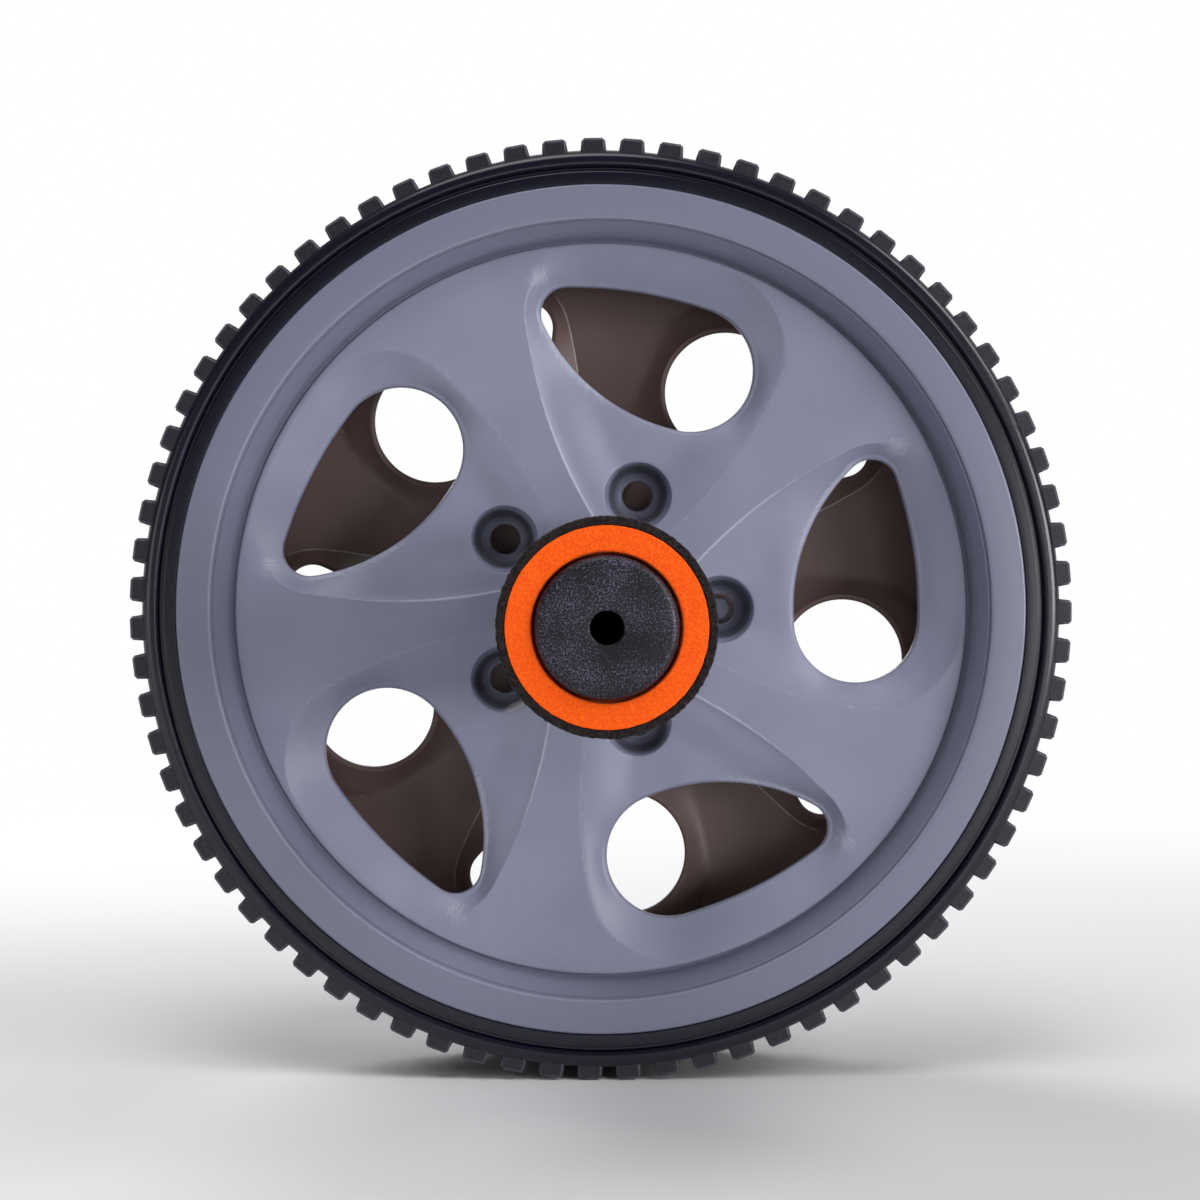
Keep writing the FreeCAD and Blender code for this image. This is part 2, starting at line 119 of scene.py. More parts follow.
def add_node(tree: NodeTree, kind: str, settings: dict[str, object] | None = None,
             links: dict[str | int, object] | None = None) -> Node:
    """Adds a node with its settings and links.

    Args:
        tree: Node tree of a material or of the world.
        kind: Node type.
        settings: Properties of the node, by name.
        links: For each input, a value or the output socket that feeds it.

    Returns:
        The new node.
    """
    node = tree.nodes.new(kind)
    for key, value in (settings or {}).items():
        setattr(node, key, value)
    for key, value in (links or {}).items():
        if isinstance(value, NodeSocket):
            tree.links.new(value, node.inputs[key])
        else:
            node.inputs[key].default_value = value
    return node


@dataclass(frozen=True)
class Finish:
    """A material: its name, two tones of its colour, its gloss and its index of refraction.

    spread holds the pattern's values at the first tone and at the second.
    """

    name: str
    tone: str
    second_tone: str
    roughness: float
    ior: float = 1.5
    spread: tuple[float, float] = (0.35, 0.7)

    def start(self) -> tuple[Material, NodeTree, Node, NodeSocket]:
        """Makes the empty material.

        Returns:
            The material, its tree, its shader and the object-space coordinates.
        """
        material = bpy.data.materials.new(self.name)
        material.use_nodes = True
        tree = material.node_tree
        shader = tree.nodes["Principled BSDF"]
        shader.inputs["IOR"].default_value = self.ior
        shader.inputs["Roughness"].default_value = self.roughness
        place = add_node(tree, "ShaderNodeTexCoord").outputs["Object"]
        return material, tree, shader, place

    def tones(self, tree: NodeTree, shader: Node, factor: NodeSocket) -> None:
        """Spreads the two tones by a pattern.

        Args:
            tree: Material tree.
            shader: Shader that takes the colour.
            factor: Pattern value.
        """
        share = add_node(tree, "ShaderNodeMapRange", None,
                         {"Value": factor, "From Min": self.spread[0], "From Max": self.spread[1]})
        mix = add_node(tree, "ShaderNodeMix", {"data_type": "RGBA"},
                       {0: share.outputs["Result"], 6: linear(self.tone), 7: linear(self.second_tone)})
        tree.links.new(mix.outputs[2], shader.inputs["Base Color"])

    @staticmethod
    def overlay(tree: NodeTree, shader: Node, share: NodeSocket, tone: str) -> None:
        """Lays another tone over the colour so far.

        Args:
            tree: Material tree.
            shader: Shader whose colour is changed.
            share: Where the tone shows, from 0 to 1.
            tone: The tone.
        """
        below = shader.inputs["Base Color"].links[0].from_socket
        mix = add_node(tree, "ShaderNodeMix", {"data_type": "RGBA"}, {0: share, 6: below, 7: linear(tone)})
        tree.links.new(mix.outputs[2], shader.inputs["Base Color"])

    @staticmethod
    def reach(tree: NodeTree, place: NodeSocket) -> NodeSocket:
        """Measures the distance from the axle.

        Args:
            tree: Material tree.
            place: Object-space coordinates.

        Returns:
            The distance, in metres.
        """
        across = add_node(tree, "ShaderNodeVectorMath", {"operation": "MULTIPLY"}, {0: place, 1: (1.0, 0.0, 1.0)})
        return add_node(tree, "ShaderNodeVectorMath", {"operation": "LENGTH"},
                        {0: across.outputs["Vector"]}).outputs["Value"]

    @staticmethod
    def depth(tree: NodeTree, place: NodeSocket) -> NodeSocket:
        """Measures the distance from the wheel's mid plane.

        Args:
            tree: Material tree.
            place: Object-space coordinates.

        Returns:
            The distance, in metres.
        """
        spot = add_node(tree, "ShaderNodeSeparateXYZ", None, {0: place})
        return add_node(tree, "ShaderNodeMath", {"operation": "ABSOLUTE"}, {0: spot.outputs["Y"]}).outputs["Value"]

    def build(self) -> Material:
        """Makes the material."""
        raise NotImplementedError


@dataclass(frozen=True)
class SatinPolypropylene(Finish):
    """Polypropylene, injection moulded in a lightly blasted tool.

    The eye sees an even satin skin with broad soft highlights and faint clouding along the flow. Where a rim is
    polished it is clearer in gloss, and painted shade darkens its tone; along edges a pale tone is partly abrasion and
    partly painted highlight, and painted shade darkens each seam and the hollows. Sizes are in millimetres, and a seam
    is its radius, strength and half width.
    """

    spread: tuple[float, float] = (0.35, 0.65)
    clouding: float = 16.0
    grain: float = 0.4
    grain_height: float = 0.006
    gloss_play: float = 0.02
    polished_shade_tone: str = ""
    polished_from: float = 72.0
    polished_run: float = 1.0
    polish: float = 0.14
    seams: tuple[tuple[float, float, float], ...] = ()
    seam_shade_tone: str = ""
    hollow_shade_tone: str = ""
    hollow_heights: tuple[float, float] = (8.5, 10.5)
    hollow_share: float = 0.8
    hollow_floor: float = 5.2
    lit_floor_run: tuple[float, float] = (0.3, 1.6)
    lit_floor_share: float = 0.45
    rubbed_and_highlight_tone: str = ""
    scuff: float = 0.4
    scuff_length: float = 5.0
    scuff_reach: float = 60.0
    scuff_bite: float = 0.8
    scuff_fade: float = 0.5
    even_scuff: float = 0.5

    def build(self) -> Material:
        """Makes the material.

        Returns:
            The finished material.
        """
        material, tree, shader, place = self.start()
        cloud = add_node(tree, "ShaderNodeTexNoise", None,
                         {"Vector": place, "Scale": per_metre(self.clouding), "Detail": 3.0})
        self.tones(tree, shader, cloud.outputs["Fac"])
        # A blasted tool leaves grain of about 0.05 mm, drawn at 0.4 mm so that it shows
        grain = add_node(tree, "ShaderNodeTexNoise", None,
                         {"Vector": place, "Scale": per_metre(self.grain), "Detail": 2.0}).outputs["Fac"]
        gloss = add_node(tree, "ShaderNodeMapRange", None,
                         {"Value": grain, "From Min": 0.3, "From Max": 0.7,
                          "To Min": self.roughness - self.gloss_play,
                          "To Max": self.roughness + self.gloss_play}).outputs["Result"]
        rim = None
        if self.polished_shade_tone:
            rim = self.polish_and_shade_rim(tree, shader, place)
            gloss = add_node(tree, "ShaderNodeMix", None,
                             {0: rim, 2: gloss, 3: self.roughness - self.polish}).outputs[0]
            blasted = add_node(tree, "ShaderNodeMath", {"operation": "SUBTRACT"}, {0: 1.0, 1: rim})
            grain = add_node(tree, "ShaderNodeMath", {"operation": "MULTIPLY"},
                             {0: grain, 1: blasted.outputs["Value"]}).outputs["Value"]
        if self.hollow_shade_tone:
            # Painted shade in the deep parts of the face: the bolt cups, the peg's end and the window lips
            self.overlay(tree, shader, self.shaded_hollows(tree, place), self.hollow_shade_tone)
        # Pale tone: partly abrasion, partly painted highlight on ridges, lips, the flange's edge and the inner ridge
        # line
        if self.rubbed_and_highlight_tone:
            self.overlay(tree, shader, self.rubbed_and_highlit_edges(tree, place, rim), self.rubbed_and_highlight_tone)
        tree.links.new(gloss, shader.inputs["Roughness"])
        bump = add_node(tree, "ShaderNodeBump", None,
                        {"Height": grain, "Strength": 0.5, "Distance": self.grain_height * MM})
        tree.links.new(bump.outputs["Normal"], shader.inputs["Normal"])
        return material

    def polish_and_shade_rim(self, tree: NodeTree, shader: Node, place: NodeSocket) -> NodeSocket:
        """Lays the polished tone over the rim as painted shade, and painted shade along each seam.

        Args:
            tree: Material tree.
            shader: Shader whose colour is changed.
            place: Object-space coordinates.

        Returns:
            Where the rim is polished, from 0 to 1.
        """
        reach = self.reach(tree, place)
        rim = add_node(tree, "ShaderNodeMapRange", SMOOTH,
                       {"Value": reach, "From Min": self.polished_from * MM,
                        "From Max": (self.polished_from + self.polished_run) * MM}).outputs["Result"]
        # Painted shade: the polished rim is darker than the spokes, for the dark front it reflects; its lower
        # roughness is the polish itself
        self.overlay(tree, shader, rim, self.polished_shade_tone)
        # Painted shade: a dark line at the wall's foot and one at the flange's inner edge, where these corners fall
        # into shade
        for seam, strength, width in self.seams:
            away = add_node(tree, "ShaderNodeMath", {"operation": "SUBTRACT"}, {0: reach, 1: seam * MM})
            gap = add_node(tree, "ShaderNodeMath", {"operation": "ABSOLUTE"}, {0: away.outputs["Value"]})
            seam_shade = add_node(tree, "ShaderNodeMapRange", SMOOTH,
                            {"Value": gap.outputs["Value"], "From Max": width * MM, "To Min": strength,
                             "To Max": 0.0})
            self.overlay(tree, shader, seam_shade.outputs["Result"], self.seam_shade_tone)
        return rim

    def shaded_hollows(self, tree: NodeTree, place: NodeSocket) -> NodeSocket:
        """Paints shade in the bolt cups, lighter on their floors than on their walls.

        Args:
            tree: Material tree.
            place: Object-space coordinates.

        Returns:
            How much painted shade the surface takes, from 0 to 1.
        """
        depth = self.depth(tree, place)
        shade = add_node(tree, "ShaderNodeMapRange", SMOOTH,
                         {"Value": depth, "From Min": self.hollow_heights[0] * MM,
                          "From Max": self.hollow_heights[1] * MM, "To Min": self.hollow_share, "To Max": 0.0})
        above = add_node(tree, "ShaderNodeMath", {"operation": "SUBTRACT"}, {0: depth, 1: self.hollow_floor * MM})
        gap = add_node(tree, "ShaderNodeMath", {"operation": "ABSOLUTE"}, {0: above.outputs["Value"]})
        # The cups' floors take less painted shade, as they face the light
        lit_floor = add_node(tree, "ShaderNodeMapRange", SMOOTH,
                         {"Value": gap.outputs["Value"], "From Min": self.lit_floor_run[0] * MM,
                          "From Max": self.lit_floor_run[1] * MM, "To Min": self.lit_floor_share, "To Max": 1.0})
        return add_node(tree, "ShaderNodeMath", {"operation": "MULTIPLY"},
                        {0: shade.outputs["Result"], 1: lit_floor.outputs["Result"]}).outputs["Value"]

    def rubbed_and_highlit_edges(self, tree: NodeTree, place: NodeSocket, rim: NodeSocket | None) -> NodeSocket:
        """Breaks the mesh's abrasion and painted highlights up into scratches that run outward, but leaves them even
        on a polished rim, where they paint one whole highlight along the flange's edge.

        Args:
            tree: Material tree.
            place: Object-space coordinates.
            rim: Where the rim is polished, if it is.

        Returns:
            How pale the surface is from abrasion and painted highlight, from 0 to 1.
        """
        worn_and_highlit = add_node(tree, "ShaderNodeAttribute", {"attribute_name": WEAR_AND_HIGHLIGHT}).outputs["Fac"]
        spot = add_node(tree, "ShaderNodeSeparateXYZ", None, {0: place})
        turn = add_node(tree, "ShaderNodeMath", {"operation": "ARCTAN2"},
                        {0: spot.outputs["Z"], 1: spot.outputs["X"]})
        around = add_node(tree, "ShaderNodeMath", {"operation": "MULTIPLY"},
                          {0: turn.outputs["Value"], 1: self.scuff_reach * MM})
        outward = add_node(tree, "ShaderNodeMath", {"operation": "DIVIDE"},
                           {0: self.reach(tree, place), 1: self.scuff_length})
        course = add_node(tree, "ShaderNodeCombineXYZ", None,
                          {"X": around.outputs["Value"], "Y": outward.outputs["Value"]})
        # Scratches of about 0.1 mm, drawn 0.4 mm wide so that they show
        scratch = add_node(tree, "ShaderNodeTexNoise", None,
                           {"Vector": course.outputs["Vector"], "Scale": per_metre(self.scuff), "Detail": 3.0,
                            "Distortion": 0.6}).outputs["Fac"]
        # On the polished rim the painted highlight along the flange's edge stays even
        if rim is not None:
            scratch = add_node(tree, "ShaderNodeMix", None, {0: rim, 2: scratch, 3: self.even_scuff}).outputs[0]
        kept = add_node(tree, "ShaderNodeMath", {"operation": "MULTIPLY_ADD"},
                        {0: scratch, 1: -self.scuff_bite, 2: worn_and_highlit})
        return add_node(tree, "ShaderNodeMapRange", None,
                        {"Value": kept.outputs["Value"], "From Min": 0.0,
                         "From Max": self.scuff_fade}).outputs["Result"]


@dataclass(frozen=True)
class SparkedPolypropylene(Finish):
    """Polypropylene moulded in a spark-eroded tool, with a polished ring at the tool's parting edge.

    The eye sees black plastic whose face glitters in small pits, more in some patches than in others, and a smooth
    rim that takes a clean highlight. The glitter is partly bump and partly painted glints, pale specks in the colour.
    """

    spread: tuple[float, float] = (0.67, 0.85)
    grain: float = 0.32
    grain_height: float = 0.05
    patch: float = 8.0
    patch_depth: float = 0.3
    smooth_from: float = 10.3
    smooth_run: float = 0.5
    smooth_share: float = 0.12
    pit_gloss: float = 0.36

    def build(self) -> Material:
        """Makes the material.

        Returns:
            The finished material.
        """
        material, tree, shader, place = self.start()
        # Pits of about 0.1 mm, drawn at 0.32 mm so that they show
        grain = add_node(tree, "ShaderNodeTexNoise", None,
                         {"Vector": place, "Scale": per_metre(self.grain), "Detail": 3.0,
                          "Roughness": 0.7}).outputs["Fac"]
        patch = add_node(tree, "ShaderNodeTexNoise", None,
                         {"Vector": place, "Scale": per_metre(self.patch), "Detail": 1.0})
        dulled = add_node(tree, "ShaderNodeMath", {"operation": "MULTIPLY_ADD"},
                          {0: patch.outputs["Fac"], 1: self.patch_depth, 2: grain})
        # Painted glints: where the pattern runs high the pale second tone shows as specks
        self.tones(tree, shader, dulled.outputs["Value"])
        pitted = add_node(tree, "ShaderNodeMapRange", None,
                          {"Value": self.reach(tree, place), "From Min": self.smooth_from * MM,
                           "From Max": (self.smooth_from + self.smooth_run) * MM, "To Min": 1.0,
                           "To Max": self.smooth_share})
        bump = add_node(tree, "ShaderNodeBump", None,
                        {"Height": grain, "Strength": pitted.outputs["Result"], "Distance": self.grain_height * MM})
        tree.links.new(bump.outputs["Normal"], shader.inputs["Normal"])
        shader.inputs["Specular IOR Level"].default_value = self.pit_gloss
        return material


@dataclass(frozen=True)
class MouldedRubber(Finish):
    """Thermoplastic rubber, moulded: near black, satin on the beads and finely pitted on the lugs' faces."""

    grain: float = 0.5
    grain_height: float = 0.05

    def build(self) -> Material:
        """Makes the material.

        Returns:
            The finished material.
        """
        material, tree, shader, place = self.start()
        # Pits of about 0.1 mm, drawn at 0.4 to 0.5 mm so that they show
        grain = add_node(tree, "ShaderNodeTexNoise", None,
                         {"Vector": place, "Scale": per_metre(self.grain), "Detail": 3.0,
                          "Roughness": 0.6}).outputs["Fac"]
        self.tones(tree, shader, grain)
        bump = add_node(tree, "ShaderNodeBump", None,
                        {"Height": grain, "Strength": 0.6, "Distance": self.grain_height * MM})
        tree.links.new(bump.outputs["Normal"], shader.inputs["Normal"])
        return material


@dataclass(frozen=True)
class CellFoam(Finish):
    """Closed-cell foam rubber, cut: a dull, soft surface of fine cut cells, with a faint fuzz at a low angle."""

    spread: tuple[float, float] = (0.38, 0.7)
    cell: float = 0.4
    cell_depth: float = 0.12
    fuzz: float = 0.2
    fuzz_roughness: float = 0.6
    skin_gloss: float = 0.2

    def build(self) -> Material:
        """Makes the material.

        Returns:
            The finished material.
        """
        material, tree, shader, place = self.start()
        # Cells of about 0.2 mm, drawn at 0.4 mm and more so that they show
        cells = add_node(tree, "ShaderNodeTexVoronoi", {"feature": "F1"},
                         {"Vector": place, "Scale": per_metre(self.cell), "Randomness": 1.0})
        speckle = add_node(tree, "ShaderNodeTexNoise", None,
                           {"Vector": place, "Scale": per_metre(self.cell), "Detail": 4.0, "Roughness": 0.75})
        self.tones(tree, shader, speckle.outputs["Fac"])
        bump = add_node(tree, "ShaderNodeBump", None,
                        {"Height": cells.outputs["Distance"], "Strength": 0.55, "Distance": self.cell_depth * MM})
        tree.links.new(bump.outputs["Normal"], shader.inputs["Normal"])
        shader.inputs["Specular IOR Level"].default_value = self.skin_gloss
        shader.inputs["Sheen Weight"].default_value = self.fuzz
        shader.inputs["Sheen Roughness"].default_value = self.fuzz_roughness
        return material


@dataclass(frozen=True)
class DrawnSteel(Finish):
    """Low-carbon steel, cold drawn: fine scratches along the bar, a grey, slightly uneven shine, and sawn ends that
    are duller and painted near black as painted shade.
    """

    spread: tuple[float, float] = (0.3, 0.7)
    scratch: float = 0.3
    stretch: float = 0.03
    gloss_play: float = 0.1
    sawn_from: float = 99.5
    # Near-black painted shade for the ends, which lie at the bottom of the handles' holes
    sawn_end_shade_tone: str = "#141312"
    sawn_dullness: float = 0.4

    def build(self) -> Material:
        """Makes the material.

        Returns:
            The finished material.
        """
        material, tree, shader, place = self.start()
        shader.inputs["Metallic"].default_value = 1.0
        along = add_node(tree, "ShaderNodeVectorMath", {"operation": "MULTIPLY"},
                         {0: place, 1: (1.0, self.stretch, 1.0)})
        # Scratches of about 0.05 mm, drawn at 0.3 mm so that they show
        lines = add_node(tree, "ShaderNodeTexNoise", None,
                         {"Vector": along.outputs["Vector"], "Scale": per_metre(self.scratch),
                          "Detail": 2.0}).outputs["Fac"]
        self.tones(tree, shader, lines)
        gloss = add_node(tree, "ShaderNodeMapRange", None,
                         {"Value": lines, "To Min": self.roughness - self.gloss_play,
                          "To Max": self.roughness + self.gloss_play})
        sawn = add_node(tree, "ShaderNodeMath", {"operation": "GREATER_THAN"},
                        {0: self.depth(tree, place), 1: self.sawn_from * MM}).outputs["Value"]
        # Painted shade: the sawn ends at the bottom of the handles' holes are painted near black
        self.overlay(tree, shader, sawn, self.sawn_end_shade_tone)
        dulled = add_node(tree, "ShaderNodeMath", {"operation": "MULTIPLY_ADD"},
                          {0: sawn, 1: self.sawn_dullness, 2: gloss.outputs["Result"]})
        tree.links.new(dulled.outputs["Value"], shader.inputs["Roughness"])
        return material


# The polished, seam and hollow tones of the face's plastic are painted shade, and its pale tone is partly abrasion and
# partly painted highlight
SHELL_PLASTIC = SatinPolypropylene("satin_moulded_grey_polypropylene", "#7E8096", "#84869C", 0.42, 1.49,
                                   rubbed_and_highlight_tone="#A9ABBD", polished_shade_tone="#74768A",
                                   seams=((72.9, 0.3, 1.2), (76.2, 0.1, 0.35)), seam_shade_tone="#34353E",
                                   hollow_shade_tone="#2E2E36")
# Inside the wheel the plastic is painted darker and browner than its face: painted shade, with painted light that
# comes through the thin wall; its pale tone paints the highlight line behind the ridge
SHELL_BACK_PAINTED_SHADE = SatinPolypropylene("core_side_grey_polypropylene", "#695553", "#735E5B", 0.45, 1.49,
                                        rubbed_and_highlight_tone="#A8A0A0")
TYRE_RUBBER = MouldedRubber("moulded_black_thermoplastic_rubber", "#060616", "#0D0D22", 0.24, 1.52,
                            grain_height=0.01)
LUG_RUBBER = MouldedRubber("pitted_black_thermoplastic_rubber", "#070712", "#1E1E2C", 0.36, 1.52,
                           grain=0.45, grain_height=0.1)
# The lugs' edges take a lighter tone: partly abrasion, partly painted highlight where they catch the light
EDGE_RUBBER_AND_HIGHLIGHT = MouldedRubber("rubbed_black_thermoplastic_rubber", "#26262E", "#4C4C58", 0.4, 1.52,
                            grain=0.4, grain_height=0.03)
# The pale second tone is painted glints in the pits
HANDLE_PLASTIC = SparkedPolypropylene("spark_textured_black_polypropylene", "#06050B", "#645E7A", 0.4, 1.49)
ORANGE_FOAM = CellFoam("cut_orange_cell_foam", "#F04C06", "#FD6E17", 0.9, 1.45, fuzz=0.03)
BLACK_SKIN = CellFoam("porous_black_foam_skin", "#030202", "#33282A", 0.85, 1.45,
                      cell=0.45, cell_depth=0.35, fuzz=0.05)
STEEL = DrawnSteel("cold_drawn_steel_bar", "#B9BABD", "#CDCED0", 0.32)
SPRING_STEEL = DrawnSteel("black_oxide_spring_steel", "#2B2C2F", "#3A3B3E", 0.42)
NYLON = SatinPolypropylene("moulded_natural_nylon", "#DAD7CC", "#E2DFD5", 0.45, 1.53)


class MeshBuilder:
    """Gathers grids of points in millimetres, as X, outward reach from the mid plane and Z, into one mesh."""

    def __init__(self) -> None:
        """Starts with no points."""
        self.points: list[np.ndarray] = []
        self.wear_and_highlight: list[np.ndarray] = []
        self.faces: list[np.ndarray] = []
        self.finishes: list[int] = []
        self.count = 0

    def grid(self, rows: np.ndarray, keep: np.ndarray | None = None, finish: int = 0,
             wear_and_highlight: np.ndarray | None = None) -> None:
        """Adds a band of quads whose columns close on themselves.

        Args:
            rows: Points as rows, columns and three coordinates.
            keep: Which quads to make, as rows less one and columns.
            finish: Number of the quads' material.
            wear_and_highlight: How much abrasion and painted highlight each point takes, from 0 to 1.
        """
        high, wide = rows.shape[:2]
        index = np.arange(high * wide).reshape(high, wide) + self.count
        after = np.roll(index, -1, axis=1)
        quads = np.stack([index[:-1], after[:-1], after[1:], index[1:]], axis=-1)
        self.faces.append(quads[keep] if keep is not None else quads.reshape(-1, 4))
        self.finishes += [finish] * len(self.faces[-1])
        self.points.append(rows.reshape(-1, 3))
        self.wear_and_highlight.append(np.zeros(high * wide) if wear_and_highlight is None else wear_and_highlight.reshape(-1))
        self.count += high * wide

    def solid(self, points: np.ndarray, faces: Sequence[Sequence[int]], finish: int = 0) -> None:
        """Adds a loose polyhedron.

        Args:
            points: Its corners.
            faces: Corner numbers of each face.
            finish: Number of the faces' material.
        """
        for face in faces:
            self.faces.append(np.array([face]) + self.count)
            self.finishes.append(finish)
        self.points.append(points)
        self.wear_and_highlight.append(np.zeros(len(points)))
        self.count += len(points)

    def make(self, name: str, place: Callable[[np.ndarray], np.ndarray]) -> Object:
        """Welds the points and makes the object.

        Args:
            name: Name of the piece.
            place: Moves the points, in millimetres, to where they belong.

        Returns:
            The new object.
        """
        spots = place(np.concatenate(self.points)) * MM
        mesh = bpy.data.meshes.new(name)
        faces = [face.tolist() for block in self.faces for face in block]
        mesh.from_pydata(spots.tolist(), [], faces)
        mesh.polygons.foreach_set("material_index", self.finishes)
        wear_and_highlight = np.concatenate(self.wear_and_highlight)
        if wear_and_highlight.any():
            mesh.attributes.new(WEAR_AND_HIGHLIGHT, "FLOAT", "POINT").data.foreach_set("value", wear_and_highlight)
        work = bmesh.new()
        work.from_mesh(mesh)
        bmesh.ops.remove_doubles(work, verts=work.verts, dist=WELD * MM)
        bmesh.ops.recalc_face_normals(work, faces=work.faces)
        work.to_mesh(mesh)
        work.free()
        mesh.polygons.foreach_set("use_smooth", [True] * len(mesh.polygons))
        mesh.set_sharp_from_angle(angle=math.radians(SHARP))
        piece = bpy.data.objects.new(name, mesh)
        bpy.context.scene.collection.objects.link(piece)
        return piece


def polar(reach: np.ndarray | float, angle: np.ndarray | float) -> np.ndarray:
    """Points at a distance and an angle in degrees about the axle, as X and Z."""
    turn = np.radians(angle)
    return np.stack(np.broadcast_arrays(reach * np.cos(turn), reach * np.sin(turn)), axis=-1)


def length(flat: np.ndarray) -> np.ndarray:
    """Lengths of vectors across the axle, given as X and Z."""
    return np.hypot(flat[..., 0], flat[..., 1])


def bearing(flat: np.ndarray) -> tuple[np.ndarray, np.ndarray]:
    """Distance from the axle, and angle in degrees, of points given as X and Z."""
    return length(flat), np.degrees(np.arctan2(flat[..., 1], flat[..., 0]))


def spun(points: np.ndarray, turn: float) -> np.ndarray:
    """Turns points about the axle.

    Args:
        points: X, reach and Z.
        turn: Angle, in degrees.

    Returns:
        The turned points.
    """
    angle = math.radians(turn)
    matrix = np.array([[math.cos(angle), 0, -math.sin(angle)], [0, 1, 0], [math.sin(angle), 0, math.cos(angle)]])
    return points @ matrix.T


def to_side(points: np.ndarray, side: Side) -> np.ndarray:
    """Moves points from reaches along the axle to a side of the wheel."""
    return points * np.array([1.0, float(side.value), 1.0])


def ease(value: np.ndarray, low: float, high: float) -> np.ndarray:
    """Rises smoothly from 0 at one value to 1 at the other."""
    share = np.clip((value - low) / (high - low), 0, 1)
    return share * share * (3 - 2 * share)


def rounded_profile(corners: Sequence[tuple[float, float, float]], steps: int = 5) -> np.ndarray:
    """Draws a line through corners and rounds each by its radius.

    Args:
        corners: Radius from the axle, reach along it and rounding of each corner.
        steps: Segments in each rounding.

    Returns:
        The points of the line, as radius and reach.
    """
    spots = np.array([corner[:2] for corner in corners], dtype=float)
    line = [spots[0]]
    for index in range(1, len(corners) - 1):
        here, radius = spots[index], corners[index][2]
        back = spots[index - 1] - here
        ahead = spots[index + 1] - here
        back, ahead = back / np.linalg.norm(back), ahead / np.linalg.norm(ahead)
        half = math.acos(np.clip(back @ ahead, -1, 1)) / 2
        if radius <= 0 or half > math.radians(STRAIGHT):
            line.append(here)
            continue
        middle = (back + ahead) / np.linalg.norm(back + ahead)
        centre = here + middle * radius / math.sin(half)
        start = here + back * radius / math.tan(half) - centre
        end = here + ahead * radius / math.tan(half) - centre
        swing = math.pi - 2 * half
        for step in range(steps + 1):
            share = step / steps
            before, after = math.sin((1 - share) * swing), math.sin(share * swing)
            line.append(centre + start * (before / math.sin(swing)) + end * (after / math.sin(swing)))
    line.append(spots[-1])
    return np.array(line)


def lathe(profile: np.ndarray, angles: np.ndarray) -> np.ndarray:
    """Turns a profile round the axle.

    Args:
        profile: Points as radius and reach.
        angles: Angles of the columns, in degrees.

    Returns:
        A grid of points as X, reach and Z.
    """
    flat = polar(profile[:, 0, None], angles[None, :])
    reach = np.broadcast_to(profile[:, 1, None], flat.shape[:2])
    return np.stack([flat[..., 0], reach, flat[..., 1]], axis=-1)


@dataclass(frozen=True)
class RoundedOutline:
    """A convex outline of tangent arcs across the axle.

    corners are the reach, angle and radius of each corner circle, anticlockwise, and sides the radius of the wide
    arc from each corner to the next.
    """

    corners: tuple[tuple[float, float, float], ...]
    sides: tuple[float, ...]

    def points(self, steps: int = 240) -> np.ndarray:
        """Samples the outline.

        Args:
            steps: Points on each arc.

        Returns:
            Points as X and Z.
        """
        centres = [polar(reach, angle) for reach, angle, _ in self.corners]
        radii = [radius for _, _, radius in self.corners]
        count = len(centres)
        wide = []
        for index in range(count):
            after = (index + 1) % count
            to_start, to_end = self.sides[index] - radii[index], self.sides[index] - radii[after]
            span = centres[after] - centres[index]
            apart = np.linalg.norm(span)
            along = (to_start ** 2 - to_end ** 2 + apart ** 2) / (2 * apart)
            across = math.sqrt(to_start ** 2 - along ** 2)
            wide.append(centres[index] + span / apart * along + np.array([-span[1], span[0]]) / apart * across)
        line = []
        for index in range(count):
            after = (index + 1) % count
            arcs = [(centres[index], radii[index], centres[index] - wide[index - 1], centres[index] - wide[index]),
                    (wide[index], self.sides[index], centres[index] - wide[index], centres[after] - wide[index])]
            for centre, radius, start, end in arcs:
                first = math.atan2(start[1], start[0])
                swing = (math.atan2(end[1], end[0]) - first) % (2 * math.pi)
                line.append(centre + polar(radius, np.degrees(first + swing * np.linspace(0, 1, steps))))
        return np.concatenate(line)

    def reach_from(self, eye: np.ndarray, angles: np.ndarray) -> np.ndarray:
        """Measures the outline from a point inside it.

        Args:
            eye: The point.
            angles: Directions, in radians.

        Returns:
            The outline's distance from the point in each direction.
        """
        rays = self.points() - eye
        return np.interp(angles, np.arctan2(rays[:, 1], rays[:, 0]), length(rays), period=2 * math.pi)


@dataclass(frozen=True)
class ScoopZones:
    """Reaches from the axle, or angles, from and to which the forms of the first sector's scoop fade in or out."""

    foot: tuple[float, float] = (33.0, 47.0)
    floor: tuple[float, float] = (36.0, 52.0)
    brow: tuple[float, float] = (60.0, 68.0)
    corner: tuple[float, float] = (54.0, 64.0)
    steep_angles: tuple[float, float] = (84.0, 94.0)
    shallow_angles: tuple[float, float] = (64.0, 74.0)
    gentle: tuple[float, float] = (60.0, 69.0)
    gentle_angles: tuple[float, float] = (62.0, 80.0)
    tip: tuple[float, float] = (64.0, 69.0)
    tip_angles: tuple[float, float] = (84.0, 92.0)


